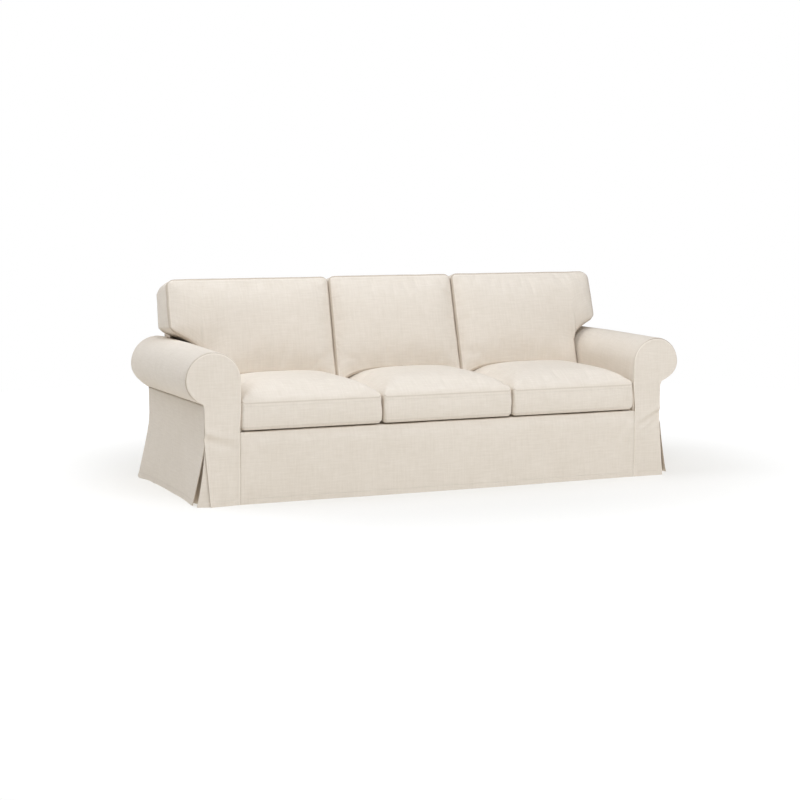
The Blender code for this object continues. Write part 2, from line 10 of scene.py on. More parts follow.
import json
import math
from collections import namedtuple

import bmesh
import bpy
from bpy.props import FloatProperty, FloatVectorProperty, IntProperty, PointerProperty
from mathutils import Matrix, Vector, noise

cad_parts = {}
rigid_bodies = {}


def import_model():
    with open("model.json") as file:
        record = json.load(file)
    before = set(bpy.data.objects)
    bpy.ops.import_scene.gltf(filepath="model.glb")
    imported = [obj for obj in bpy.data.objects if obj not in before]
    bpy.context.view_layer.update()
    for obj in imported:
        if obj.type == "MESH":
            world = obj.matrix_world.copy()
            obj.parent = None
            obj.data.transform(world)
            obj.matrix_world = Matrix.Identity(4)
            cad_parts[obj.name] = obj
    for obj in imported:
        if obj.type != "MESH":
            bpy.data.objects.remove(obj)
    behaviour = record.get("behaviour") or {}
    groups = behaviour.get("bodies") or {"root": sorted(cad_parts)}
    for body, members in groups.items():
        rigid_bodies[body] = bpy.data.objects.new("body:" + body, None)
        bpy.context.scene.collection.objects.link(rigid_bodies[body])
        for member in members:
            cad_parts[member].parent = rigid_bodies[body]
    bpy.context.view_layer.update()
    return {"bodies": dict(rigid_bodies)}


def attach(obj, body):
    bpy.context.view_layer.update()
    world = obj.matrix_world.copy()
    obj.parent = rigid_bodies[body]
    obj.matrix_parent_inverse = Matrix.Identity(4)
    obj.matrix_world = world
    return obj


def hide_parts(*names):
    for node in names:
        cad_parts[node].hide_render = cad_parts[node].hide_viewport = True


bl_info = {
    "name": "Sofa Slipcover",
    "version": (1, 0, 0),
    "blender": (4, 5, 0),
    "location": "View3D > Sidebar > Slipcover",
    "description": "Cuts, sews and fills a skirted slipcover for a three-seat sofa with rolled arms",
    "category": "Add Mesh",
}

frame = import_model()

SIDES = (-1, 1)
HANDS = {-1: "left", 0: "middle", 1: "right"}
BODY = next(iter(frame["bodies"]))

# --- the sofa's outline under the cloth ---
FRONT_Y = -0.4343         # the plane of the cover's front
SEAT_HALF = 0.871         # from the middle to the inside of an arm
ARM_DEPTH = 0.845         # from the front plane to the arms' rear ends
DECK_Z = 0.286
RAIL_EDGE_R = 0.006       # the front rail's rounded top edge
APRON_WIDER = 0.0060      # how far out of the arm's inside the seam between apron and leg lies
WIDER_OVER = 0.10         # over what height below the cushions' top seams it moves out there
APRON_SETTLE = 0.0035     # how much lower the cloth lies on the rail
APRON_LEAN = 0.0160       # how far the rail's padding leans back under the cushions
APRON_LEAN_HIGH = 0.048   # over what height
APRON_LEAN_ENDS = 0.05    # and over what width it loses that at the legs
ROLL_X = 0.980
ROLL_Z = 0.486
ROLL_R = 0.109
ROLL_FULLER = 0.004       # how much more the roll holds half-way along
ROLL_EXTRA = {-1: 0.0015, 1: -0.0035}       # how much more each roll holds all along
ROLL_REAR_EXTRA = {-1: 0.0035, 1: 0.0035}   # and towards its rear
OVER_TOP_TURN = 0.8       # the angle, from the arm's inside, over which that grows
SQUASH = {-1: 0.095, 1: 0.17}    # how much narrower an arm gets from the roll's middle down to its neck
SQUASH_TURN = 1.1         # over what angle below the middle
ROLL_END_DRAW = 0.002     # how much the seams at its ends draw it in
ROLL_END_ROUND = 0.010    # over what length
NECK_Z = 0.392            # the seam under the roll, about
NECK_ENDS_Z = {-1: (0.396, 0.384), 1: (0.403, 0.393)}     # that seam at the front and at the rear
NECK_SLOPE = 0.25         # how far a leg's outer edge comes in for each metre above the neck
SCROLL_PUFF = 0.004       # how far its filling puffs a scroll out
SCROLL_FILLET = 0.006     # how far the leg widens into its scroll
SCROLL_FILLET_Z = 0.009   # over what height
BACK_TOP_Z = 0.790
WING_HALF = 0.945
WING_CORNER_R = 0.030
WING_CLEAR_R = 0.1145     # the underside of a wing, about the roll's centre
WING_START = math.radians(12)   # where it leaves the arm, above the roll's inner side
WING_FROM = math.radians(100)   # the turns over the roll between which the cloth's rear end goes
WING_TO = math.radians(125)     # from the arm's rear to the inside back
LEAN = 0.140              # how far the back goes backwards for each metre that it rises
LEAN_Z = 0.45
LEAN_Y = 0.7255           # where it stands at LEAN_Z

# --- the cloth ---
SEAM = 0.0003             # what parts two pieces that are sewn to each other
APRON_LAP = 0.050         # how far the apron reaches under the cushions
WELD = 0.00001
RIM_SOFT = 0.35           # how much of its thickness a cut edge is rounded by
RIM_ANGLE = math.radians(75)
FAR = 8.0                 # further than any seam
LAST_DISTANCE = 0.4       # the map "stitches" holds no greater distance from a seam
ON_SEAM = 0.0             # where the distances from a stitched seam start on the map "stitches"
ON_HEM = 2.0
ON_PLAIN_SEAM = 4.0
ON_WELT = 6.0             # a seam whose allowance stands up, with a painted highlight along it where its edge would catch the light
FLUSH_BY = 0.0016         # how much of the shadow beside a flush seam doesn't show
ROLLED_OVER = 0.0032      # how far from a seam its cloth rolls in
SHORT_PUCKER = 0.013
LONG_PUCKER = 0.030
LONG_PUCKER_SHARE = 0.6   # how deep the long ones are, of the short ones
PUCKER_FROM = 0.006       # the puckers are deepest this far from a seam
PUCKER_FADE = 0.022
STRAY_FROM = 0.05         # a panel strays fully from its shape this far from its seams
STRAY_SHARES = (0.65, 0.35)     # the shares of the broad and of the smaller waves in that,
STRAY_WAVES = (5.1, 12.0)       # and how many of them there are to the metre
ALLOWANCE_EDGE = 0.003    # how softly an allowance ends

# --- the skirt: how far each side hangs out of plumb at the floor ---
SKIRT_TOP_Z = 0.25
PLEAT_TOP_Z = 0.225
FLARE_POWER = 1.15        # how slowly the flare starts
REAR_FLARE = 0.030
PLEAT_SET_BACK = 0.060    # how far an outside panel stands back from the corner at the floor
REAR_PLEAT_SET_BACK = 0.005
REAR_DRAW = 0.003         # how far an outside panel's rear edge draws in at the floor
SIDE_HEM_Z = 0.0007
REAR_HEM_Z = 0.0004
LEG_X = {-1: 1.0175, 1: 1.000}          # a leg's outer edge above its pleat
LEG_FOOT_X = {-1: 0.9995, 1: 1.018}     # at the floor, in front
LEG_REAR_FOOT_X = {-1: 1.004, 1: 0.992}     # and behind
SCROLL_R = {-1: 0.1075, 1: 0.1015}
NECK_TURN = {-1: 0.6, 1: 0.8}   # radians over which the roll fills out from its neck

# Distance behind the front, and how far the left and the right outside panel stand out there at the floor.
SIDE_FLARE = (
    # behind, left, right
    (0.000, 0.036, 0.076),
    (0.060, 0.036, 0.075),
    (0.223, 0.029, 0.052),
    (0.488, 0.031, 0.046),
    (0.694, 0.041, 0.053),
    (0.800, 0.062, 0.070),
    (0.845, 0.055, 0.066),
)

# Place along the front, and how far the hem sways behind the front plane there.
HEM_SWAY = (
    # x, sway
    (-1.020, -0.008),
    (-0.940, 0.002),
    (-0.870, 0.009),
    (-0.600, 0.008),
    (-0.210, -0.001),
    (0.240, -0.006),
    (0.560, 0.001),
    (0.880, 0.002),
    (1.020, -0.001),
)

# Drag creases that run from the tops of the pleats, on the front of the cover. Depth goes into the cloth.
CREASE_FADE = 0.6         # how much shallower a crease is at its far end
CREASES = (
    # from_x, from_z, to_x, to_z, half_width, depth
    (-1.006, 0.261, -0.905, 0.230, 0.0150, 0.0110),
    (-1.006, 0.288, -0.905, 0.262, 0.0140, -0.0065),
    (0.992, 0.270, 0.897, 0.216, 0.0110, 0.0095),
    (0.992, 0.292, 0.897, 0.242, 0.0110, -0.0050),
    (0.992, 0.244, 0.925, 0.190, 0.0100, 0.0080),
    (0.860, 0.262, 0.796, 0.175, 0.0150, 0.0060),
    (0.866, 0.225, 0.815, 0.135, 0.0160, -0.0040),
    (-0.845, 0.262, -0.765, 0.180, 0.0140, 0.0034),
)

# Soft folds on the outside panels. Depth goes into the cloth.
SIDE_FOLDS = (
    # from_y, from_z, to_y, to_z, half_width, depth
    (0.052, 0.235, 0.120, 0.120, 0.018, 0.0022),
    (0.030, 0.262, 0.150, 0.236, 0.014, -0.0016),
    (0.790, 0.290, 0.760, 0.060, 0.022, 0.0030),
    (0.828, 0.250, 0.700, 0.205, 0.018, -0.0022),
    (0.560, 0.200, 0.600, 0.020, 0.040, 0.0016),
    (0.300, 0.210, 0.270, 0.020, 0.045, 0.0014),
)
SIDE_FOLD_FADE = 0.5      # how much shallower a fold is at its far end

# The underlay of a corner pleat. Distances run from the edge of the panel that they start at.
UNDERLAY_TOP_Z = 0.238
UNDERLAY_LAP = 0.065      # behind the end panel
UNDERLAY_BEHIND = 0.0026  # from the back of the end panel to the face of the underlay
UNDERLAY_FOLDS = (
    # from the pleat's top to the floor: high, low
    (0.009, 0.004),       # the end panel's edge in to the first fold
    (0.006, 0.010),       # the outside panel's edge back to the second fold
    (0.0005, 0.012),      # the outside panel in to the second fold
    (0.105, 0.070),       # the outside panel's edge back to the underlay's own edge
    (0.0005, 0.014),      # the outside panel in to that edge
)
UNDERLAY_BENDS = (0.0, 0.32, 0.50, 0.68, 1.0)   # where the folds lie across its width
NOSE_BACK = 0.014         # the front left one shows a face: how far behind the front it ends at the floor,
NOSE_IN = 0.003           # how far inside the outside panel,
NOSE_TURN_IN = 0.018      # and how far it turns in behind that
UNDERLAY_WIDTH = 0.180
UNDERLAY_GRID = 0.008
BESIDE_FOLD = (0.0015,)

# --- the cushions ---
SEAM_HALF = 0.2876        # from a seat cushion's middle to its side seam
CUSHION_PITCH = 2 * SEAT_HALF / 3
HALF_PARTING = 0.0014     # from a back cushion's side seam to the middle of the gap beside it
SEAT_BACK_Y = 0.695
SEAT_SEAM_Z = 0.392
SEAT_CROWN = 0.081
SEAT_CORNER_R = 0.014
SEAT_SAT_ON = 0.45        # how much lower the crown is under the back cushions
SAT_ON_FROM_Y = 0.36
SAT_ON_TO_Y = 0.62
SEAT_EXTENTS = {-1: (-0.869, -0.2832), 0: (-0.2748, 0.2938), 1: (0.3022, 0.8708)}   # as they lie
SEAT_WAVER = 0.0010       # how far the sides of a seat cushion waver
SEAT_FOOT_ROUND = 0.0060  # how far they turn in at the lower seam
FOOT_ROUND_FROM_W = 0.88  # from what share of their way down
FOOT_ROUND_OVER_W = 0.12  # and over what share
SEAT_FOOT_LIFT = 0.0030   # how far that seam stands over the deck
SEAT_FOOT_SOFT = 0.07     # how far in from it the underside lies on the deck
SEAT_SET_BACK = 0.0040    # how far the front stands behind the rail
SEAT_FRONT_SWELL = 0.0055   # how far it swells forward between its seams
SEAT_FRONT_SOFT = 0.05    # how far behind its front seam both have faded
SEAT_SIDE_SWELL = 0.0008  # how far the sides swell between their seams
REST = 0.0005             # what parts a cushion and what carries it
BACK_FRONT_Y = 0.493      # where the front seams of a back cushion stand at LEAN_Z
BACK_FRONT_LEAN = 0.310   # how far they go backwards for each metre that they rise
BACK_LOW_Z = 0.455
BACK_TOP_SEAM_Z = 0.851
BACK_REAR_DROP = 0.045    # how far the top slopes down towards its rear seam
BACK_DROP_FROM_Z = 0.60
BACK_CROWN = 0.042
BACK_CORNER_R = 0.030
BACK_ARM_X = 0.868        # where an outer back cushion stands beside its arm
EAR_X = {-1: 1.0005, 1: 0.984}
EAR_REAR_IN = {-1: 0.006, 1: 0.0}      # how much further in the ear's rear seam lies
EAR_Z = 0.560             # the notch under an ear, on the pattern
EAR_REACH = 0.10          # how far inside the notch the cloth starts to rise with the ear's foot
NOTCH_CALM = 0.30         # round the notch, within this, the filling moves less
EAR_FOOT_Z = {-1: (0.540, 0.644), 1: (0.548, 0.642)}    # the ear's lower edge, at the arm and at its side
EAR_RISE = {-1: 0.67, 1: 0.50}         # the power that it rises with
EAR_LOW_CORNER_R = 0.022
EAR_TOP_CORNER_R = 0.038
FOOT_LEVEL = 0.05         # the height over which a back cushion's foot follows the seat
LIFT_OFF_SEAT = 0.0042
EAR_REAR_DROP = 0.014     # how much lower the rear of an ear's foot lies, on the roll
EAR_REAR_POWER = 1.5      # the power that this grows with
EAR_TOP_DRAW = 0.003      # how far the ear's front seam is drawn in at its top corner
BACK_HIGH_FROM_Z = 0.70   # where on the pattern the top's draw and sinking start
BACK_HIGH_OVER = 0.15     # and over what height they grow
BACK_GAP_SHIFT = {-1: (-0.0055, 0.0045), 1: (-0.0045, 0.000)}   # how far the gaps lie aside, low, high
BACK_SIDE_DRAW = 0.0012   # how far the sides between two cushions are drawn in half-way up
BACK_SEAM_WAVER = 0.0016  # how far the side seams waver
BACK_TOP_WAVER = 0.0016   # and the top seam
WAVER_FROM_Z = 0.75       # where on the pattern its waver starts
WAVER_OVER = 0.1
BACK_SWELL = 0.0080       # how far the ear's side swells between its seams
BACK_TOP_SWELL = 0.6      # how much of that the top does
BACK_TOP_SUNK = {-1: 0.0035, 0: 0.0010, 1: 0.0}     # how much lower each cushion's top has sunk
SEAT_FILL_REACH = 0.215   # how far from its seams a face reaches its full crown
BACK_FILL_REACH = 0.21
SHOULDER = 0.88           # how much fuller its shoulders are before it is blown up, which draws them in
FILL_BLEND = 3.0          # how softly the slopes from two seams meet
FILL_ROUND = 2.2          # how flat a face gets towards its middle
FILL_RISE = 0.62          # how steeply it rises at its seams, less for steeper
BACK_DEPTH = 0.21         # the boxing of a back cushion, about
SEAT_DEPTH = 0.105        # the boxing of a seat cushion
HELD_BY_SEAM = 0.008      # the filling moves no cloth this near a seam,
HELD_FROM_W = 0.9         # none on the underside,
HELD_FOOT = 0.004         # and none this far up a back cushion's foot
SWELL_SOFT = 0.05         # how far from a seam it moves a face fully
SEAT_BOXING_MOST = 0.0010   # how far it moves the boxing at most
BACK_BOXING_MOST = 0.0020
SEAT_SEAM_RELIEF = 0.12   # the share of the seams' relief that the seat cushions show
BACK_SEAM_RELIEF = 1.0
SEAT_FILL = 0.8           # how tight they are filled, from 0 to 1
BACK_FILL = 0.7
RIDGE_WIDTH = 0.0022      # the ridge, the groove and the band beside a cushion's seam
GROOVE_AT = 0.0052
GROOVE_WIDTH = 0.0030
GROOVE_ON_BOXING = 0.5    # how deep it is on the boxing, of what it is on a face
BAND_RELIEF = 0.0007
BAND_EDGE = 0.003         # how softly the band ends
BAND_PAST = 0.001         # how far past its width that reaches

# --- grids: distances from a seam or a hem at which a grid has extra lines ---
BESIDE_SEAM = (0.0015, 0.003, 0.0055, 0.0085, 0.011, 0.014)
BESIDE_HEM = (0.002, 0.009, 0.0165, 0.0190, 0.0215, 0.0240)
BESIDE_CUSHION_SEAM = (0.0026, 0.0052, 0.0085, 0.0115, 0.0150, 0.0210)
WING_UNDER = 0.12         # about the length of a wing's underside, for its grid
WING_HIGH = 0.15          # and of its side
ARM_END_GRID = 0.8        # how large the squares of some panels are, of the others'
ROLL_GRID = 0.85
INSIDE_ARM_GRID = 1.6
OUTSIDE_BACK_GRID = 1.25
INSIDE_BACK_GRID = 3.0
EDGE_LINES_NEED = 2.5     # how wide an arm's end must be for all its extra lines, of their reach

# --- the weave: how many threads, streaks or clouds there are to the metre, across and up ---
LONG_SLUBS = (9.0, 420.0)
TALL_SLUBS = (420.0, 8.0)
BROAD_WEFT = (16.0, 130.0)
BROAD_WARP = (130.0, 14.0)
CLOUDS = (7.0, 7.0)
THICK_WEFT = (0.56, 0.70)  # from what noise a thread is thicker, and from what noise it is thick
THICK_WARP = (0.58, 0.72)
LIGHT_SHARE = 0.46        # how much of the cloth is light thread, and how far that changes
CLOUD_SHARE = 0.40        # with the clouds,
WEAVE_SHARE = 0.08        # with the weave,
STREAK_SHARES = (1.05, 0.95)    # with the streaks across and up,
SLUB_SHARES = (0.30, 0.22)      # and with the thick threads
SLUB_RELIEF = 0.00008
TALL_SLUB_RELIEF = 0.8    # how much of that the upright ones have
STREAK_RELIEF = 0.00016
THREAD_RELIEF = 0.00025
DIMPLE_RELIEF = 0.00045
STITCH_SHARE = (0.30, 0.38)     # from the middle of a stitch to where its thread dips, of its length
THREAD_HALF = (0.0004, 0.0010)  # from its line, how far the sewing thread reaches and fades,
DIMPLE_HALF = (0.0008, 0.0028)  # the cloth that it draws in, painted darker as shade,
RIDGE_HALF = (0.0010, 0.0034)   # and a painted highlight on a ridge
SHADOW_SOFT = (0.5, 1.6)        # the same for the shadow in a seam, in shares of its width
DIMPLE_SHADE = 0.72       # how light the drawn-in cloth is painted, of its dark thread: painted shade in its dimple
DIMPLE_SHOWS = 0.14
RIDGE_SHADE = 1.10        # how light the painted highlight on a ridge is, of the light thread
THREAD_SHOWS = 0.6
ROUGHNESS = 0.93
SLUB_SMOOTHNESS = 0.10    # how much less rough thick threads are

# --- the camera, as the cover is seen: from its left and a little above ---
CAMERA_AT = (-2.767, -6.4763, 1.153)
CAMERA_AZIMUTH = math.radians(-22.947)
CAMERA_ELEVATION = math.radians(6.723)
CAMERA_LENS = 74.385
CAMERA_SENSOR = 36.0
CAMERA_SEES = 200.0       # how far

# --- the studio ---
STAGE_RADIUS = 50.5       # of the backdrop
FLOOR_RADIUS = 4.0
NEAR_GLOW = 0.5           # how far from the sofa's middle the floor starts to glow more
FAR_GLOW = 3.0            # and how far away it glows most
FLOOR_TINT = (1.03, 1.0, 0.93)      # the light is warm from below and from all round
SKY_TINT = (1.06, 1.0, 0.86)
LAMP_TINT = (0.95, 0.99, 1.065)     # and a little cooler from the lamps
LIT_POINT = (0.0, 0.0, 0.4)
LAMPS = (
    # name, where, how wide, power
    ("overhead", (0.0, -0.6, 4.0), 6.0, 78.0),
    ("left_overhead", (-3.0, 0.4, 4.0), 3.0, 73.0),
    ("front_high", (-0.5, -4.0, 4.0), 3.0, 121.0),
    ("right_front", (2.5, -5.0, 3.0), 3.0, 80.0),
    ("rear_left", (-3.2, 2.2, 2.4), 2.0, 26.0),
)


class SlipcoverSewing(bpy.types.PropertyGroup):
    """How the cover is sewn: its cloth, seams and hems."""

    cloth: FloatProperty(
        name="Cloth", description="Thickness of the cloth", default=0.002, min=0.001, max=0.003,
        precision=4, unit="LENGTH",
    )
    allowance: FloatProperty(
        name="Seam allowance", description="Width of the cloth turned back behind a seam", default=0.010,
        min=0.004, max=0.02, precision=4, unit="LENGTH",
    )
    allowance_lift: FloatProperty(
        name="Allowance lift", description="How far a turned allowance stands up under the cloth",
        default=0.0008, min=0.0, max=0.002, precision=5, unit="LENGTH",
    )
    seam_dip: FloatProperty(
        name="Seam dip", description="How far the cloth rolls in at a seam", default=0.0016, min=0.0,
        max=0.004, precision=5, unit="LENGTH",
    )
    seam_stitch: FloatProperty(
        name="Seam stitching", description="Distance of the top-stitching from a seam", default=0.007,
        min=0.002, max=0.015, precision=4, unit="LENGTH",
    )
    hem: FloatProperty(
        name="Hem", description="Height of the hem", default=0.0205, min=0.01, max=0.05, precision=4,
        unit="LENGTH",
    )
    pucker: FloatProperty(
        name="Pucker", description="Depth of the small puckers beside a seam", default=0.0007, min=0.0,
        max=0.003, precision=5, unit="LENGTH",
    )
    unevenness: FloatProperty(
        name="Unevenness", description="How far a hanging panel strays from its true shape", default=0.0022,
        min=0.0, max=0.006, precision=5, unit="LENGTH",
    )
    stitch_length: FloatProperty(
        name="Stitch length", description="Length of a stitch and the gap after it", default=0.0042,
        min=0.002, max=0.01, precision=5, unit="LENGTH",
    )
    grid: FloatProperty(
        name="Grid", description="Size of the squares that a panel is divided into", default=0.011,
        min=0.004, max=0.05, precision=4, unit="LENGTH",
    )


class SlipcoverFilling(bpy.types.PropertyGroup):
    """How the cushions are filled and seamed."""

    pressure: FloatProperty(
        name="Pressure", description="How hard the filling presses on the cloth", default=3.0, min=0.0,
        max=20.0,
    )
    spare: FloatProperty(
        name="Spare cloth", description="How much larger the cloth is cut than its filling",
        default=0.016, min=0.0, max=0.06, precision=3, subtype="FACTOR",
    )
    start: FloatProperty(
        name="Starting crown", description="Share of its crown that a face starts from", default=0.94,
        min=0.5, max=1.0, subtype="FACTOR",
    )
    most: FloatProperty(
        name="Most swelling", description="The furthest that the filling may move a face", default=0.009,
        min=0.0, max=0.03, precision=4, unit="LENGTH",
    )
    steps: IntProperty(
        name="Steps", description="Steps over which the cloth is blown up", default=20, min=1, max=60,
    )
    ridge: FloatProperty(
        name="Seam ridge", description="How far a cushion's seam stands out", default=0.0022, min=0.0,
        max=0.005, precision=5, unit="LENGTH",
    )
    groove: FloatProperty(
        name="Seam groove", description="How far the cloth is drawn in beside a seam", default=0.0010,
        min=0.0, max=0.004, precision=5, unit="LENGTH",
    )
    band: FloatProperty(
        name="Felled band", description="Width of the allowance that is stitched down beside a seam",
        default=0.0115, min=0.004, max=0.02, precision=4, unit="LENGTH",
    )
    grid: FloatProperty(
        name="Grid", description="Size of the squares that a cushion is divided into", default=0.0115,
        min=0.004, max=0.05, precision=4, unit="LENGTH",
    )


class SlipcoverCloth(bpy.types.PropertyGroup):
    """The weave and its colours."""

    light: FloatVectorProperty(
        name="Light thread", description="Colour of the paler threads", default=(0.800, 0.722, 0.622),
        size=3, min=0.0, max=1.0, subtype="COLOR",
    )
    dark: FloatVectorProperty(
        name="Dark thread", description="Colour of the darker threads", default=(0.700, 0.620, 0.515),
        size=3, min=0.0, max=1.0, subtype="COLOR",
    )
    sewing_thread: FloatVectorProperty(
        name="Sewing thread", description="Colour of the stitching", default=(0.74, 0.66, 0.56),
        size=3, min=0.0, max=1.0, subtype="COLOR",
    )
    # seam_shadow is painted shade: a dark colour painted along the seams where their shadow would fall
    seam_shadow: FloatVectorProperty(
        name="Seam shadow", description="Colour of the cloth in a seam", default=(0.34, 0.25, 0.16),
        size=3, min=0.0, max=1.0, subtype="COLOR",
    )
    pitch: FloatProperty(
        name="Thread pitch", description="Distance between two threads", default=0.0011, min=0.0004,
        max=0.005, precision=5, unit="LENGTH",
    )
    relief: FloatProperty(
        name="Weave relief", description="Height of the weave", default=0.00006, min=0.0, max=0.001,
        precision=6, unit="LENGTH",
    )
    slubs: FloatProperty(
        name="Slubs", description="How strongly thick threads show", default=0.62, min=0.0, max=2.0,
    )
    sheen: FloatProperty(
        name="Sheen", description="Soft shine of the fibres", default=0.12, min=0.0, max=1.0,
        subtype="FACTOR",
    )


class SlipcoverStudio(bpy.types.PropertyGroup):
    """The floor and the lights."""

    sky: FloatProperty(
        name="Sky", description="Strength of the light from all round", default=0.06, min=0.0, max=3.0,
    )
    lamps: FloatProperty(
        name="Lamps", description="Share of their full power that the lamps shine at", default=1.0,
        min=0.0, max=3.0, subtype="FACTOR",
    )
    glow: FloatProperty(
        name="Floor glow", description="How much the floor near the sofa glows", default=0.51, min=0.0,
        max=1.0,
    )
    far_glow: FloatProperty(
        name="Far floor glow", description="How much the floor glows far away", default=0.96, min=0.0,
        max=1.0,
    )
    floor: FloatVectorProperty(
        name="Floor", description="Colour of the floor", default=(0.35, 0.35, 0.35), size=3, min=0.0,
        max=1.0, subtype="COLOR",
    )


def sewing():
    return bpy.context.scene.slipcover_sewing


def filling():
    return bpy.context.scene.slipcover_filling


# --- shapes that the panels share ---


def clamp(value):
    return min(max(value, 0.0), 1.0)


def smooth(value):
    """0 below 0, 1 above 1 and eased between them."""
    value = clamp(value)
    return value * value * (3 - 2 * value)


def mix(low, high, share):
    return low + (high - low) * share


def read_table(table, key, column):
    """The column's value at the key, eased between the rows of the table."""
    if key <= table[0][0]:
        return table[0][column]
    for row, following in zip(table, table[1:]):
        if key <= following[0]:
            share = (key - row[0]) / (following[0] - row[0])
            return mix(row[column], following[column], smooth(share))
    return table[-1][column]


def graded(low, high, step, close_low=(), close_high=()):
    """Places from low to high about a step apart, and closer ones at the given distances from the ends."""
    near = [low + distance for distance in (0.0, *close_low)]
    far = [high - distance for distance in (*reversed(close_high), 0.0)]
    count = max(1, round((far[0] - near[-1]) / step))
    return near + [mix(near[-1], far[0], index / count) for index in range(1, count)] + far


def skirt(z):
    """How much of its floor flare a panel has at height z."""
    return max(0.0, (SKIRT_TOP_Z - z) / SKIRT_TOP_Z) ** FLARE_POWER


def crease(p, q, row, fade):
    """The depth at (p, q) of a crease that runs from one point to another, shallower at its far end."""
    from_p, from_q, to_p, to_q, half_width, depth = row
    run_p, run_q = to_p - from_p, to_q - from_q
    along = ((p - from_p) * run_p + (q - from_q) * run_q) / (run_p**2 + run_q**2)
    near = clamp(along)
    away = math.hypot(p - from_p - near * run_p, q - from_q - near * run_q)
    return depth * (1 - fade * near) * math.exp(-((away / half_width) ** 2))


def front_face(x, z):
    """The y of the cover's front at a place along it: the swaying hem and the creases."""
    sway = read_table(HEM_SWAY, x, 1) * skirt(z)
    return sway + sum(crease(x, z, row, CREASE_FADE) for row in CREASES)


def side_face(side, y, z):
    """The distance from the sofa's middle to an arm's outside panel."""
    column = 1 if side < 0 else 2
    return LEG_X[side] + read_table(SIDE_FLARE, y, column) * skirt(z)


def squashed(side, turn):
    """An arm's radius at a turn, as a share of what it is over the top."""
    return 1 - SQUASH[side] * smooth(-turn / SQUASH_TURN)


def neck_z_at(side, y):
    """The height of the seam under the roll."""
    return mix(*NECK_ENDS_Z[side], y / ARM_DEPTH)


def rear_face(z):
    return ARM_DEPTH + REAR_FLARE * skirt(z)


def inside_back_y(z):
    return LEAN_Y + LEAN * (z - LEAN_Z)


def pleat(z):
    """0 at the top of a corner pleat and above, 1 at the floor."""
    return clamp((PLEAT_TOP_Z - z) / PLEAT_TOP_Z)


def tuck():
    """From the face of a panel to a piece that ends behind it."""
    return sewing().cloth + SEAM


def place(x, y, z):
    return Vector((x, y + FRONT_Y, z))


# --- the weave ---


class Wire:
    """A socket in a material's nodes. Arithmetic on it adds Math nodes."""

    def __init__(self, recipe, socket):
        self.recipe = recipe
        self.socket = socket

    def output(self, key):
        return Wire(self.recipe, self.socket.node.outputs[key])

    def __add__(self, other):
        return self.recipe.maths("ADD", self, other)

    __radd__ = __add__

    def __sub__(self, other):
        return self.recipe.maths("SUBTRACT", self, other)

    def __rsub__(self, other):
        return self.recipe.maths("SUBTRACT", other, self)

    def __mul__(self, other):
        return self.recipe.maths("MULTIPLY", self, other)

    __rmul__ = __mul__

    def __truediv__(self, other):
        return self.recipe.maths("DIVIDE", self, other)

    def __abs__(self):
        return self.recipe.maths("ABSOLUTE", self)


class Recipe:
    """One material and its nodes."""

    def __init__(self, name):
        self.material = bpy.data.materials.new(name)
        self.material.use_nodes = True
        self.tree = self.material.node_tree
        self.shader = self.tree.nodes["Principled BSDF"]

    def node(self, kind, settings=None, inputs=None, output=0):
        """Adds a node: its settings first, then the values or wires of its sockets."""
        made = self.tree.nodes.new(kind)
        for name, value in (settings or {}).items():
            setattr(made, name, value)
        for key, value in (inputs or {}).items():
            self.feed(made.inputs[key], value)
        return Wire(self, made.outputs[output])

    def surface(self, values):
        """Sets or links the shader's sockets by their names."""
        for name, value in values.items():
            self.feed(self.shader.inputs[name], value)

    def feed(self, socket, value):
        if isinstance(value, Wire):
            self.tree.links.new(value.socket, socket)
        else:
            socket.default_value = value

    def maths(self, operation, *values):
        return self.node("ShaderNodeMath", {"operation": operation}, dict(enumerate(values)))

    def step(self, value, low, high):
        """0 below low, 1 above high and smooth between them."""
        return self.node(
            "ShaderNodeMapRange", {"interpolation_type": "SMOOTHSTEP"},
            {"Value": value, "From Min": low, "From Max": high},
        )

    def blend(self, share, low, high):
        return self.node("ShaderNodeMix", {"data_type": "RGBA"}, {0: share, 6: low, 7: high}, 2)

    def noise(self, where, stretch, detail=2.0):
        """Noise on a map in metres, with so many features to the metre along it and across it."""
        scaled = self.node(
            "ShaderNodeVectorMath", {"operation": "MULTIPLY"}, {0: where, 1: (*stretch, 1.0)}
        )
        return self.node(
            "ShaderNodeTexNoise", {"noise_dimensions": "2D"},
            {"Vector": scaled, "Scale": 1.0, "Detail": detail, "Roughness": 0.55},
        )


# How a cloth looks beside its seams: where the stitching runs, where a dark line of painted shade lies, how
# wide and how dark it is, and where a pale line of painted highlight lies and how pale it is.
SeamLook = namedtuple("SeamLook", "stitched dark_at dark_width dark pale_at pale")


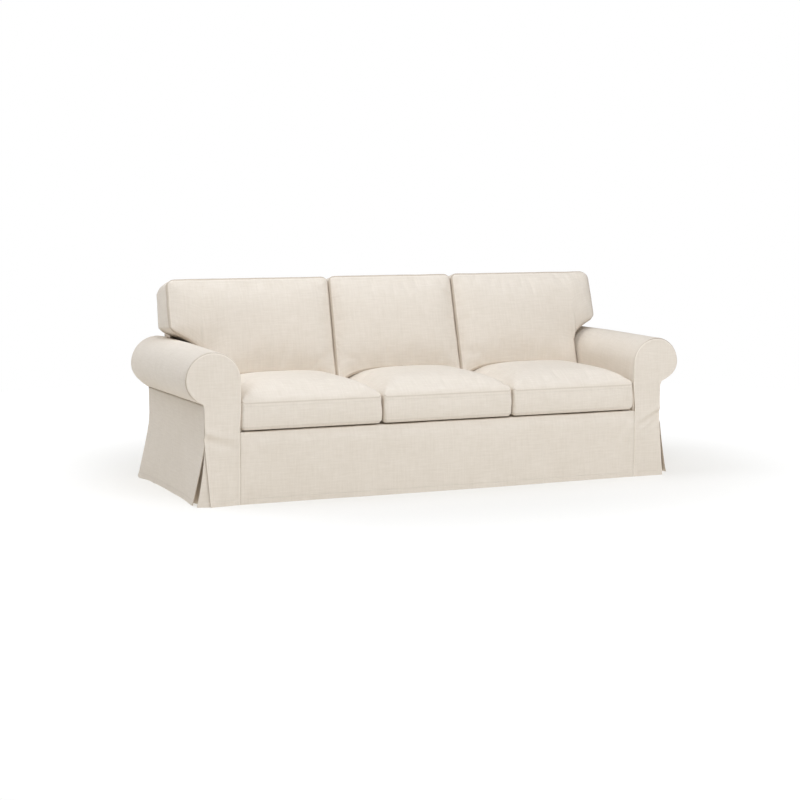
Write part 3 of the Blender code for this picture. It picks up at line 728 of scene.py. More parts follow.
def linen(name, seams):
    """A slubby plain weave. Its map "cloth" is in metres, and "stitches" holds distances to its seams."""
    scene = bpy.context.scene
    looks, sewn = scene.slipcover_cloth, scene.slipcover_sewing
    recipe = Recipe(name)
    cloth = recipe.node("ShaderNodeUVMap", {"uv_map": "cloth"})
    across = recipe.node("ShaderNodeSeparateXYZ", None, {0: cloth})
    up = across.output(1)

    warp = recipe.maths("SINE", across * (math.pi / looks.pitch))
    weft = recipe.maths("SINE", up * (math.pi / looks.pitch))
    weave = warp * weft

    long_slubs = recipe.noise(cloth, LONG_SLUBS, 1.0)
    tall_slubs = recipe.noise(cloth, TALL_SLUBS, 1.0)
    broad_weft = recipe.noise(cloth, BROAD_WEFT)
    broad_warp = recipe.noise(cloth, BROAD_WARP)
    cloudy = recipe.noise(cloth, CLOUDS)
    thick_weft = recipe.step(long_slubs, *THICK_WEFT)
    thick_warp = recipe.step(tall_slubs, *THICK_WARP)
    streaks = (broad_weft - 0.5) * STREAK_SHARES[0] + (broad_warp - 0.5) * STREAK_SHARES[1]
    slubs = thick_weft * SLUB_SHARES[0] + thick_warp * SLUB_SHARES[1]
    share = (
        LIGHT_SHARE
        + (streaks + slubs) * looks.slubs
        + (cloudy - 0.5) * CLOUD_SHARE
        + weave * WEAVE_SHARE
    )
    share = recipe.maths("MINIMUM", recipe.maths("MAXIMUM", share, 0.0), 1.0)

    stitches = recipe.node("ShaderNodeUVMap", {"uv_map": "stitches"})
    distance = recipe.node("ShaderNodeSeparateXYZ", None, {0: stitches})
    along = distance.output(1)
    from_line = recipe.maths(
        "MINIMUM", abs(distance - seams.stitched), abs(distance - (ON_HEM + sewn.hem))
    )
    from_dark = recipe.maths(
        "MINIMUM", abs(distance - seams.dark_at), abs(distance - (ON_PLAIN_SEAM + seams.dark_at))
    )
    beat = recipe.maths("FRACT", along / sewn.stitch_length)
    dash = 1 - recipe.step(abs(beat - 0.5), *STITCH_SHARE)
    thread = (1 - recipe.step(from_line, *THREAD_HALF)) * dash
    dimple = 1 - recipe.step(from_line, *DIMPLE_HALF)
    shadow = 1 - recipe.step(from_dark, *(seams.dark_width * edge for edge in SHADOW_SOFT))

    def shade(colour, factor):
        return (*[min(1.0, value * factor) for value in colour], 1.0)

    colour = recipe.blend(share, shade(looks.dark, 1.0), shade(looks.light, 1.0))
    # The cloth drawn in beside the stitching is painted darker: painted shade in its dimple.
    colour = recipe.blend(dimple * DIMPLE_SHOWS, colour, shade(looks.dark, DIMPLE_SHADE))
    # A dark line of painted shade along each seam, in the colour seam_shadow.
    colour = recipe.blend(shadow * seams.dark, colour, (*looks.seam_shadow, 1.0))
    if seams.pale > 0:
        # A pale line of painted highlight beside a seam, where its ridge would catch the light.
        ridge = 1 - recipe.step(abs(distance - seams.pale_at), *RIDGE_HALF)
        colour = recipe.blend(ridge * seams.pale, colour, shade(looks.light, RIDGE_SHADE))
    colour = recipe.blend(thread * THREAD_SHOWS, colour, shade(looks.sewing_thread, 1.0))

    height = (
        weave * looks.relief
        + (thick_weft + thick_warp * TALL_SLUB_RELIEF) * SLUB_RELIEF
        + streaks * STREAK_RELIEF
        + thread * THREAD_RELIEF
        - dimple * DIMPLE_RELIEF
    )
    bump = recipe.node("ShaderNodeBump", None, {"Strength": 1.0, "Distance": 1.0, "Height": height})
    recipe.surface({
        "Base Color": colour,
        "Roughness": ROUGHNESS - slubs * SLUB_SMOOTHNESS,
        "Normal": bump,
        "Sheen Weight": looks.sheen,
        "Sheen Roughness": 0.45,
        "Specular IOR Level": 0.25,
    })
    return recipe.material


def shared_linen(name, seams):
    return bpy.data.materials.get(name) or linen(name, seams)


def cover_cloth():
    """The panels' cloth: top-stitched, with a painted shadow in its seams and a painted highlight on the edge
    of its welts.
    """
    return shared_linen("cover_linen", SeamLook(
        stitched=sewing().seam_stitch, dark_at=0.0008, dark_width=0.0020, dark=0.36,
        pale_at=ON_WELT + 0.0020, pale=0.40,
    ))


def seat_cloth():
    """The seat cushions' cloth: a fine line of painted shade on each seam, and stitching on the boxing beside
    it.
    """
    return shared_linen("seat_linen", SeamLook(
        stitched=filling().band, dark_at=0.0, dark_width=0.0010, dark=0.24, pale_at=0.0, pale=0.0,
    ))


def back_cloth():
    """The back cushions' cloth: a deeper painted shadow on each seam, and a pale painted highlight on the
    face inside it.
    """
    return shared_linen("back_linen", SeamLook(
        stitched=filling().band, dark_at=-0.0008, dark_width=0.0044, dark=0.46,
        pale_at=-0.0092, pale=0.28,
    ))


# --- sheets ---

# What an edge of a sheet is: where its distances start on the map "stitches", how wide an allowance is
# turned behind it, whether it puckers, and how deeply it rolls in.
EdgeKind = namedtuple("EdgeKind", "mapped lifted puckered rolled")


def edge_kinds():
    sewn = sewing()
    return {
        "sewn": EdgeKind(ON_SEAM, sewn.allowance, True, 1.0),
        "flush": EdgeKind(ON_SEAM + FLUSH_BY, sewn.allowance, True, 0.4),
        "welt": EdgeKind(ON_WELT, sewn.allowance, True, 0.5),
        "plain": EdgeKind(ON_PLAIN_SEAM, sewn.allowance, True, 1.0),
        "deep": EdgeKind(ON_PLAIN_SEAM, sewn.allowance, True, 2.4),
        "hem": EdgeKind(ON_HEM, sewn.hem, False, 0.0),
    }


def edge_relief(kind, distance, along):
    """How far the cloth stands out near an edge of that kind."""
    sewn = sewing()
    relief = 0.0
    if kind.lifted:
        inside = kind.lifted + ALLOWANCE_EDGE / 2 - distance
        relief += sewn.allowance_lift * smooth(inside / ALLOWANCE_EDGE)
    if kind.rolled:
        dip = sewn.seam_dip * kind.rolled + sewn.allowance_lift
        relief -= dip * max(0.0, 1 - distance / (ROLLED_OVER * max(1.0, kind.rolled))) ** 2
    if kind.puckered:
        wave = noise.noise(Vector((along / SHORT_PUCKER, 7.3, 1.1)))
        wave += LONG_PUCKER_SHARE * noise.noise(Vector((along / LONG_PUCKER, 2.9, 5.7)))
        relief += sewn.pucker * wave * smooth(distance / PUCKER_FROM) * math.exp(-distance / PUCKER_FADE)
    return relief


def strayed(co):
    """How a hanging panel strays at a place: broad waves and smaller ones, between -1 and 1."""
    broad = noise.noise(co * STRAY_WAVES[0])
    small = noise.noise(co * STRAY_WAVES[1] + Vector((3.0, 8.0, 1.0)))
    return STRAY_SHARES[0] * broad + STRAY_SHARES[1] * small


class Sheet:
    """A cut of cloth on a grid of lines across and up it, laid out by shape(across, up)."""

    def __init__(self, name, across, up, shape, inside):
        self.name = name
        self.maker = bmesh.new()
        self.columns, self.rows = len(across) - 1, len(up) - 1
        bmesh.ops.create_grid(self.maker, x_segments=self.columns, y_segments=self.rows, size=0.5)
        self.spot = {}
        self.grid = [[None] * (self.rows + 1) for _ in across]
        for vert in self.maker.verts:
            column = round((vert.co.x + 0.5) * self.columns)
            row = round((vert.co.y + 0.5) * self.rows)
            self.spot[vert] = (column, row)
            self.grid[column][row] = vert
            vert.co = shape(across[column], up[row])
        self.maker.normal_update()
        outward = sum(
            face.normal.dot(face.calc_center_median() - inside) * face.calc_area()
            for face in self.maker.faces
        )
        if outward < 0:
            bmesh.ops.reverse_faces(self.maker, faces=self.maker.faces)
            self.maker.normal_update()
        self.travelled_across = self.travel(lambda column, row: (column - 1, row))
        self.travelled_up = self.travel(lambda column, row: (column, row - 1))

    def travel(self, before):
        """The way over the cloth from its first line to each place, in metres."""
        gone = {}
        for column in range(self.columns + 1):
            for row in range(self.rows + 1):
                last = before(column, row)
                if min(last) < 0:
                    gone[column, row] = 0.0
                else:
                    step = (self.grid[column][row].co - self.grid[last[0]][last[1]].co).length
                    gone[column, row] = gone[last] + step
        return gone

    def measured(self, spot):
        """For each side of the sheet, how far off it is and the place along it."""
        column, row = spot
        left, low = self.travelled_across[spot], self.travelled_up[spot]
        right = self.travelled_across[self.columns, row] - left
        high = self.travelled_up[column, self.rows] - low
        return {"left": (left, low), "right": (right, low), "low": (low, left), "high": (high, left)}

    def sew(self, edges, outline=None, unevenness=1.0, plan=None, shift=(0.0, 0.0)):
        """Raises the edges and writes the cloth's two maps.

        edges names the kind of each edge. outline(co) gives the distance to a curved edge and the place
        along it, plan(co) the cloth's own map where the grid isn't a good one, and shift moves the map,
        so that no two pieces have the same threads.
        """
        kinds = edge_kinds()
        edges = {side: kinds[kind] for side, kind in edges.items()}
        reaches = {}
        for vert, spot in self.spot.items():
            reach = {side: way for side, way in self.measured(spot).items() if side in edges}
            if outline:
                reach["outline"] = outline(vert.co)
            reaches[vert] = reach
        if outline:
            edges["outline"] = kinds["welt"]
        weave = self.maker.loops.layers.uv.new("cloth")
        stitching = self.maker.loops.layers.uv.new("stitches")
        middle = self.columns // 2
        for face in self.maker.faces:
            corners = [loop.vert for loop in face.loops]
            nearest = min(
                edges, key=lambda side: sum(reaches[vert][side][0] for vert in corners), default=None,
            )
            for loop in face.loops:
                column, row = self.spot[loop.vert]
                if plan:
                    u, v = plan(loop.vert.co)
                else:
                    u = self.travelled_across[column, row] - self.travelled_across[middle, row]
                    v = self.travelled_up[middle, row]
                loop[weave].uv = (u + shift[0], v + shift[1])
                if nearest is None:
                    loop[stitching].uv = (FAR, 0.0)
                else:
                    distance, along = reaches[loop.vert][nearest]
                    loop[stitching].uv = (min(distance, LAST_DISTANCE) + edges[nearest].mapped, along)
        stray = sewing().unevenness * unevenness
        moves = {}
        for vert, reach in reaches.items():
            lift = sum(edge_relief(edges[side], *way) for side, way in reach.items())
            held = min((way[0] for side, way in reach.items() if edges[side].rolled), default=FAR)
            moves[vert] = vert.normal * (lift + stray * strayed(vert.co) * smooth(held / STRAY_FROM))
        for vert, move in moves.items():
            vert.co += move

    def finish(self, flat, area, held="stretched", rests_on=("sofa",)):
        """Makes the piece: welded, with its thickness and softened edges, attached to the sofa and put in
        place of its solid.
        """
        sewn = sewing()
        bmesh.ops.remove_doubles(self.maker, verts=self.maker.verts, dist=WELD)
        piece = add_piece(self.name, self.maker, cover_cloth())
        wall = piece.modifiers.new("thickness", "SOLIDIFY")
        wall.thickness = sewn.cloth
        wall.offset = -1
        rim = piece.modifiers.new("soft_edges", "BEVEL")
        rim.width = RIM_SOFT * sewn.cloth
        rim.segments = 2
        rim.limit_method = "ANGLE"
        rim.angle_limit = RIM_ANGLE
        declare(piece, self.name)


def add_object(name, maker, material, ending=""):
    """Makes an object from the bmesh, which is freed, and puts it in the scene."""
    mesh = bpy.data.meshes.new(name)
    maker.to_mesh(mesh)
    maker.free()
    mesh.materials.append(material)
    made = bpy.data.objects.new(name + ending, mesh)
    bpy.context.scene.collection.objects.link(made)
    return made


def add_piece(name, maker, material):
    piece = add_object(name, maker, material, "_cloth")
    piece.data.shade_smooth()
    return piece


def declare(piece, node):
    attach(piece, BODY)
    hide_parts(node)


def on_front(co):
    """A panel's own map where it faces the front or the rear."""
    return co.x, co.z


# --- the front ---


def front_apron():
    """From arm front to arm front: up from the floor, over the front rail and in under the cushions."""
    half = SEAT_HALF - SEAM / 2 + APRON_WIDER
    edge_z = DECK_Z - APRON_SETTLE - RAIL_EDGE_R
    over_edge = math.pi / 2 * RAIL_EDGE_R
    first_line = 0.018
    grid = sewing().grid
    across = graded(-half, half, grid, BESIDE_SEAM, BESIDE_SEAM)
    up = graded(0.0, edge_z, grid, BESIDE_HEM)
    up += [edge_z + over_edge * share for share in (0.2, 0.4, 0.6, 0.8, 1.0)]
    up += [up[-1] + first_line, up[-1] + APRON_LAP - RAIL_EDGE_R]

    def padded_rail(x, z):
        """How far the rail's padding leans back towards its top."""
        ends = smooth((half - abs(x)) / APRON_LEAN_ENDS)
        return APRON_LEAN * max(0.0, 1 - (edge_z - z) / APRON_LEAN_HIGH) ** 2 * ends

    def shape(x, way):
        if way <= edge_z:
            return place(x, front_face(x, way) + padded_rail(x, way), way)
        turn = min((way - edge_z) / RAIL_EDGE_R, math.pi / 2)
        y = mix(front_face(x, edge_z), 0.0, math.sin(turn)) + padded_rail(x, edge_z)
        y += RAIL_EDGE_R * (1 - math.cos(turn)) + max(0.0, way - edge_z - over_edge)
        return place(x, y, edge_z + RAIL_EDGE_R * math.sin(turn))

    sheet = Sheet("front_apron", across, up, shape, place(0, 0.2, 0.1))
    sheet.sew({"left": "flush", "right": "flush", "low": "hem"}, plan=on_front, shift=(0.31, 0.0))
    sheet.finish(flat=(1.742, 0.330), area=0.569, rests_on=["seat_deck"])


def seat_deck():
    """The platform under the seat cushions."""
    front = APRON_LAP + SEAM
    rear = inside_back_y(DECK_Z) + sewing().cloth
    half = SEAT_HALF + sewing().cloth
    grid = 0.05
    sheet = Sheet(
        "seat_deck", graded(-half, half, grid), graded(front, rear, grid),
        lambda x, y: place(x, y, DECK_Z), place(0, 0.3, 0.1),
    )
    sheet.sew({}, unevenness=0.0, plan=lambda co: (co.x, co.y), shift=(0.0, 2.2))
    sheet.finish(flat=(1.746, 0.654), area=1.14)


# --- the arms ---

# One end of an arm: face(x, z) gives its y, foot_x its outer edge at the floor on each side.
ArmEnd = namedtuple("ArmEnd", "place face foot_x hem_z shift")


def arm_front_face(x, z):
    """The front of an arm, where the scroll puffs out a little over its filling."""
    away = math.hypot(abs(x) - ROLL_X, z - ROLL_Z) / ROLL_R
    return front_face(x, z) - SCROLL_PUFF * max(0.0, 1 - away**2)


def arm_end(side, end):
    """A scroll-topped end of an arm, from the floor to the top of the roll."""
    radius = SCROLL_R[side]
    inner_leg = SEAT_HALF + SEAM / 2
    inner_r = ROLL_X - inner_leg
    wider = APRON_WIDER if end.place == "front" else 0.0

    def scroll(turn):
        reach = radius * squashed(side, turn)
        return ROLL_X + reach * math.cos(turn), ROLL_Z + reach * math.sin(turn)

    # The scroll starts where it meets the leg's edge.
    neck_turn = -1.5
    while scroll(neck_turn)[0] < LEG_X[side]:
        neck_turn += 0.002
    neck_z = scroll(neck_turn)[1]
    pattern_width = 0.15
    grid = sewing().grid * ARM_END_GRID
    across = graded(0.0, pattern_width, grid, BESIDE_SEAM, BESIDE_SEAM)
    close = BESIDE_SEAM[-1]
    round_scroll = {z: x for x, z in map(scroll, graded(neck_turn, math.pi / 2, grid / radius)[1:])}
    up = graded(end.hem_z, neck_z, grid, BESIDE_HEM) + sorted(round_scroll)

    def leg_edge(z):
        fillet = SCROLL_FILLET * math.exp((z - neck_z) / SCROLL_FILLET_Z)
        return mix(LEG_X[side], end.foot_x[side], pleat(z)) + fillet

    def widened(z):
        """How far out of the arm's inside the seam with the apron lies."""
        return wider * smooth((SEAT_SEAM_Z - z) / WIDER_OVER)

    def edges_at(z):
        """The inner and the outer edge at a height."""
        inner = inner_leg + widened(z)
        if z > ROLL_Z:
            inner = ROLL_X - inner_r * math.sqrt(max(0.0, 1 - ((z - ROLL_Z) / radius) ** 2))
        outer = leg_edge(z)
        if z in round_scroll:
            outer = max(round_scroll[z], leg_edge(neck_z) - NECK_SLOPE * (z - neck_z))
        return inner, max(outer, inner)

    def shape(step, z):
        inner, outer = edges_at(z)
        width = outer - inner
        squeeze = min(1.0, width / (EDGE_LINES_NEED * close))
        if step <= close:
            x = inner + step * squeeze
        elif step >= pattern_width - close:
            x = outer - (pattern_width - step) * squeeze
        else:
            share = (step - close) / (pattern_width - 2 * close)
            x = mix(inner + close * squeeze, outer - close * squeeze, share)
        return place(side * x, end.face(side * x, z), z)

    def outline(co):
        """Distance to the seam up the leg's inner side and round the scroll, and the place along it."""
        x, z = abs(co.x), co.z
        out = (x - ROLL_X) * (radius / inner_r if x < ROLL_X else 1.0)
        turn = math.atan2(z - ROLL_Z, out)
        along = neck_z + radius * (turn - neck_turn)
        away = math.hypot(out, z - ROLL_Z)
        if z > ROLL_Z:
            return radius - away, along
        inner = x - inner_leg - widened(z)
        if z > neck_z:
            outer = radius * squashed(side, turn) - away if x > ROLL_X else FAR
            return (outer, along) if outer < inner else (inner, z)
        outer = leg_edge(z) - x
        return (outer, z) if outer < inner else (inner, z)

    name = f"arm_{end.place}_{HANDS[side]}"
    sheet = Sheet(name, across, up, shape, place(side * ROLL_X, ARM_DEPTH / 2, 0.3))
    sheet.sew({"low": "hem"}, outline=outline, plan=on_front, shift=end.shift, unevenness=0.7)
    sheet.finish(flat=(0.216, 0.593), area=0.09, rests_on=[f"arm_roll_{HANDS[side]}"])


def arm_ends():
    front = ArmEnd("front", arm_front_face, LEG_FOOT_X, 0.0, (0.0, 0.73))
    rear = ArmEnd("back", lambda x, z: rear_face(z), LEG_REAR_FOOT_X, REAR_HEM_Z, (0.17, 1.91))
    for side in SIDES:
        arm_end(side, front)
        arm_end(side, rear)


def roll_radius(side, turn, y):
    """The roll under its cloth: drawn in at the neck and at both ends, a little fuller half-way along."""
    neck_drop = neck_z_at(side, y) - ROLL_Z
    neck_turn = math.atan2(neck_drop, LEG_X[side] - ROLL_X)
    neck_r = math.hypot(neck_drop, LEG_X[side] - ROLL_X)
    over_top = smooth((math.pi - turn) / OVER_TOP_TURN)
    share = y / ARM_DEPTH
    extra = ROLL_EXTRA[side] + ROLL_REAR_EXTRA[side] * smooth(share)
    extra += ROLL_FULLER * math.sin(math.pi * share)
    full = ROLL_R * squashed(side, turn) + extra * over_top
    radius = mix(neck_r, full, smooth((turn - neck_turn) / NECK_TURN[side]))
    end_distance = min(y - tuck(), ARM_DEPTH - tuck() - y)
    end_round = max(0.0, 1 - end_distance / ROLL_END_ROUND)
    return radius - ROLL_END_DRAW * end_round**2


def roll_end(turn, z):
    """Where a roll's cloth ends: at the arm's rear, or against the inside back that is in its way."""
    under_wing = smooth((turn - WING_FROM) / (WING_TO - WING_FROM))
    return mix(ARM_DEPTH - tuck(), inside_back_y(z) - SEAM, under_wing)


def arm_roll(side):
    """The length from the seam under the roll, over the roll and down the inside to the deck."""
    grid = sewing().grid
    neck_turn = math.atan2(NECK_Z - ROLL_Z, LEG_X[side] - ROLL_X)
    arc = ROLL_R * (math.pi - neck_turn)
    around = graded(0.0, arc, grid * ROLL_GRID, BESIDE_SEAM)
    down = graded(arc, arc + ROLL_Z - DECK_Z - SEAM, grid * INSIDE_ARM_GRID)
    along = graded(0.0, ARM_DEPTH, grid, BESIDE_SEAM, BESIDE_SEAM)

    def shape(way, distance):
        start = math.atan2(neck_z_at(side, distance) - ROLL_Z, LEG_X[side] - ROLL_X)
        turn = mix(start, math.pi, min(way, arc) / arc)
        fall = max(0.0, way - arc) / (ROLL_Z - DECK_Z - SEAM)
        nearly_z = mix(ROLL_Z + ROLL_R * math.sin(turn), DECK_Z + SEAM, fall)
        y = mix(tuck(), roll_end(turn, nearly_z), distance / ARM_DEPTH)
        radius = roll_radius(side, turn, y)
        z = mix(ROLL_Z + radius * math.sin(turn), DECK_Z + SEAM, fall)
        return place(side * (ROLL_X + radius * math.cos(turn)), y, z)

    inside = place(side * ROLL_X, ARM_DEPTH / 2, ROLL_Z)
    sheet = Sheet(f"arm_roll_{HANDS[side]}", around + down[1:], along, shape, inside)
    sheet.sew({"left": "deep", "low": "sewn", "high": "plain"}, shift=(0.4, 3.1 + side), unevenness=0.9)
    sheet.finish(flat=(0.84, 0.672), area=0.51)


def arm_side(side):
    """The outside of an arm, from the seam under the roll to the floor, open at the pleats."""
    top_z = NECK_Z - 2 * SEAM
    front_gap = tuck() + SEAM
    grid = sewing().grid
    across = graded(0.0, ARM_DEPTH, grid, BESIDE_SEAM, BESIDE_SEAM)
    up = graded(SIDE_HEM_Z, top_z, grid, BESIDE_HEM, BESIDE_SEAM)

    def shape(distance, z):
        corner = max(front_face(side * LEG_X[side], z), 0.0)
        front = corner + front_gap + (PLEAT_SET_BACK - front_gap) * pleat(z)
        rear = ARM_DEPTH - tuck() - REAR_DRAW * pleat(z)
        y = mix(front, rear, distance / ARM_DEPTH)
        folds = sum(crease(y, z, row, SIDE_FOLD_FADE) for row in SIDE_FOLDS)
        lift = (neck_z_at(side, y) - NECK_Z) * smooth((z - SKIRT_TOP_Z) / (NECK_Z - SKIRT_TOP_Z))
        return place(side * (side_face(side, y, z) - folds), y, z + lift)

    sheet = Sheet(f"arm_side_{HANDS[side]}", across, up, shape, place(0, ARM_DEPTH / 2, 0.2))
    sheet.sew(
        {"left": "plain", "right": "plain", "low": "hem", "high": "deep"},
        plan=lambda co: (co.y, co.z), shift=(0.9 + side * 0.37, 2.5),
    )
    sheet.finish(flat=(0.84, 0.39), area=0.325, rests_on=[f"arm_roll_{HANDS[side]}"])


# --- the pleats ---


def underlay_plan(side, at_front, z):
    """The folds of an underlay at height z, as (distance from the middle, distance from its end)."""
    down = pleat(z)
    turn_in, corner_back, corner_in, run_back, run_in = (
        mix(high, low, down) for high, low in UNDERLAY_FOLDS
    )
    foot_x = LEG_FOOT_X if at_front else LEG_REAR_FOOT_X
    edge_x = mix(LEG_X[side], foot_x[side], down)
    edge_d = mix(tuck(), PLEAT_SET_BACK if at_front else REAR_PLEAT_SET_BACK, down)
    cloth = sewing().cloth

    def behind_end(x):
        face = front_face(side * x, z) if at_front else -REAR_FLARE * skirt(z)
        return face + cloth + UNDERLAY_BEHIND

    def behind_side(d):
        return side_face(side, d if at_front else ARM_DEPTH - d, z) - cloth

    inner_x = edge_x - UNDERLAY_LAP
    turn_x = edge_x - turn_in
    corner_d = edge_d + corner_back
    run_d = edge_d + run_back
    turned = (turn_x, behind_end(turn_x))
    corner = (behind_side(corner_d) - corner_in, corner_d)
    nose = [mix(*pair, 0.5) for pair in zip(turned, corner)]
    if side < 0 and at_front:
        nose_d = mix(turned[1], NOSE_BACK, down)
        nose = (behind_side(nose_d) - mix(corner_in, NOSE_IN, down), nose_d)
        corner = (corner[0] - NOSE_TURN_IN * down, corner_d)
    return (
        (inner_x, behind_end(inner_x)),
        turned,
        nose,
        corner,
        (behind_side(run_d) - run_in, run_d),
    )


def pleat_underlay(end, side):
    """The folded piece in a corner pleat: behind the end panel, across the corner, behind the side."""
    at_front = end == "front"
    bends = [bend * UNDERLAY_WIDTH for bend in UNDERLAY_BENDS]
    across = sorted({
        round(way, 5)
        for low, high in zip(bends, bends[1:])
        for way in graded(low, high, UNDERLAY_GRID, BESIDE_FOLD, BESIDE_FOLD)
    })
    up = graded(SIDE_HEM_Z, UNDERLAY_TOP_Z, sewing().grid, BESIDE_HEM)

    def shape(way, z):
        corners = underlay_plan(side, at_front, z)
        section = max(index for index in range(4) if way >= bends[index] - WELD)
        low, high = bends[section : section + 2]
        share = (way - low) / (high - low)
        x, d = (mix(*pair, share) for pair in zip(corners[section], corners[section + 1]))
        return place(side * x, d if at_front else ARM_DEPTH - d, z)

    name = f"pleat_underlay_{end}_{HANDS[side]}"
    sheet = Sheet(name, across, up, shape, place(0, ARM_DEPTH / 2, 0.1))
    sheet.sew({"low": "hem"}, unevenness=0.0, shift=(1.3 * side, 4.0))
    sheet.finish(flat=(0.180, 0.238), area=0.042, held="hung", rests_on=[f"arm_side_{HANDS[side]}"])


# --- the back ---


def wing_arc(steps):
    """The underside of the right wing as (x, z), round the roll and out to the wing's side."""
    end = math.acos((WING_HALF - ROLL_X) / WING_CLEAR_R)
    turns = [mix(math.pi - WING_START, end, step / steps) for step in range(steps + 1)]
    return [
        (ROLL_X + WING_CLEAR_R * math.cos(turn), ROLL_Z + WING_CLEAR_R * math.sin(turn))
        for turn in turns
    ]


def wing_side(side_steps, corner_steps):
    """The side and the rounded top corner of the right wing as (x, z), above its underside."""
    foot_z = wing_arc(1)[-1][1]
    shoulder_x, shoulder_z = WING_HALF - WING_CORNER_R, BACK_TOP_Z - WING_CORNER_R
    points = [(WING_HALF, z) for z in graded(foot_z, shoulder_z, (shoulder_z - foot_z) / side_steps)[1:]]
    for step in range(1, corner_steps + 1):
        turn = math.pi / 2 * step / corner_steps
        along, up = WING_CORNER_R * math.cos(turn), WING_CORNER_R * math.sin(turn)
        points.append((shoulder_x + along, shoulder_z + up))
    return points


def back_panel(name, grid, from_z, face, inside, hem, shift):
    """A panel of the back, between the arms and out over them. face(z) gives its y."""
    between_arms = SEAT_HALF - 3 * SEAM
    close = BESIDE_SEAM[-1]
    low = graded(from_z, ROLL_Z, grid, BESIDE_HEM if hem else ())
    sections = [(z, between_arms) for z in low]
    sections += [(z, max(x, between_arms)) for x, z in wing_arc(round(WING_UNDER / grid) + 2)]
    sections += [(z, x) for x, z in wing_side(round(WING_HIGH / grid) + 2, 8)]
    up = list(range(len(sections)))
    across = graded(-SEAT_HALF, SEAT_HALF, grid, BESIDE_SEAM, BESIDE_SEAM)

    def shape(x, row):
        z, half = sections[row]
        if abs(x) > SEAT_HALF - close:
            x = math.copysign(half - (SEAT_HALF - abs(x)), x)
        else:
            x *= (half - close) / (SEAT_HALF - close)
        return place(x, face(z), z)

    sheet = Sheet(name, across, up, shape, inside)
    edges = {"left": "sewn", "right": "sewn", "high": "sewn"}
    if hem:
        edges["low"] = "hem"
    sheet.sew(edges, plan=on_front, shift=shift, unevenness=1.0 if hem else 0.0)
    return sheet


def back_panels():
    grid = sewing().grid
    outside = back_panel(
        "outside_back", grid * OUTSIDE_BACK_GRID, REAR_HEM_Z, rear_face, place(0, 0.5, 0.4), True,
        (0.21, 5.5),
    )
    outside.finish(flat=(1.89, 0.79), area=1.41, rests_on=["back_band"])
    inside = back_panel(
        "inside_back", grid * INSIDE_BACK_GRID, DECK_Z + 4 * SEAM, inside_back_y,
        place(0, ARM_DEPTH, 0.4), False, (0.4, 7.1),
    )
    inside.finish(flat=(1.89, 0.508), area=0.917, rests_on=["back_band"])


def back_band():
    """The boxing between the back's inside and outside: under one wing, over the top, under the other."""
    grid = sewing().grid
    half = wing_arc(16) + wing_side(10, 8)
    shoulder_x = half[-1][0]
    half += [(x, BACK_TOP_Z) for x in reversed(graded(0.0, shoulder_x, grid)[:-1])]
    outline = [(-x, z) for x, z in half] + half[-2::-1]
    behind_inside = sewing().cloth * math.hypot(1, LEAN) + 4 * SEAM
    pattern_depth = 0.09
    across = list(range(len(outline)))
    up = graded(0.0, pattern_depth, grid, BESIDE_SEAM, BESIDE_SEAM)

    def shape(index, way):
        x, z = outline[index]
        y = mix(inside_back_y(z) + behind_inside, ARM_DEPTH - tuck(), way / pattern_depth)
        return place(x, y, z)

    sheet = Sheet("back_band", across, up, shape, place(0, 0.8, 0.5))
    sheet.sew({"low": "plain", "high": "plain"}, shift=(0.0, 6.3), unevenness=0.6)
    sheet.finish(flat=(2.5, 0.11), area=0.177)


# --- the cushions ---


def rounded(u, v, corners):
    """Moves a pattern point in a corner onto its arc. A corner is (u, v, side_u, side_v, radius)."""
    for corner_u, corner_v, side_u, side_v, radius in corners:
        p = 1 + side_u * (u - corner_u) / radius
        q = 1 + side_v * (v - corner_v) / radius
        if p > 0 and q > 0:
            u = corner_u + side_u * radius * (p * math.sqrt(1 - min(q, 1) ** 2 / 2) - 1)
            v = corner_v + side_v * radius * (q * math.sqrt(1 - min(p, 1) ** 2 / 2) - 1)
    return u, v


def fullness(distances, reach, shoulder=1.0):
    """How far a filled face has risen, 0 at its seams and 1 in the middle, from its distances to them."""
    if min(distances) <= 0:
        return 0.0
    away = sum(distance**-FILL_BLEND for distance in distances) ** (-1 / FILL_BLEND)
    return (1 - (1 - min(away / reach, 1.0)) ** FILL_ROUND) ** (FILL_RISE * shoulder)


def seat_crown(x, y, shoulder=1.0):
    """Height of a seat cushion's face over its top seam, at x from the cushion's own middle."""
    distances = (SEAM_HALF - x, SEAM_HALF + x, y, SEAT_BACK_Y - y)
    under_back = smooth((y - SAT_ON_FROM_Y) / (SAT_ON_TO_Y - SAT_ON_FROM_Y))
    return SEAT_CROWN * (1 - SEAT_SAT_ON * under_back) * fullness(distances, SEAT_FILL_REACH, shoulder)


def seat_top(x, y):
    """The highest cloth of the three seat cushions at a place, or the seam height beyond them."""
    tops = [SEAT_SEAM_Z]
    for low, high in SEAT_EXTENTS.values():
        u = SEAM_HALF * (2 * x - low - high) / (high - low)
        if abs(u) < SEAM_HALF and 0 < y < SEAT_BACK_Y:
            tops.append(SEAT_SEAM_Z + seat_crown(u, y))
    return max(tops)


# A vertex of a cushion: its place on the pattern, how far it is from a seam, and whether it is boxing.
Spot = namedtuple("Spot", "u v w seam boxing")


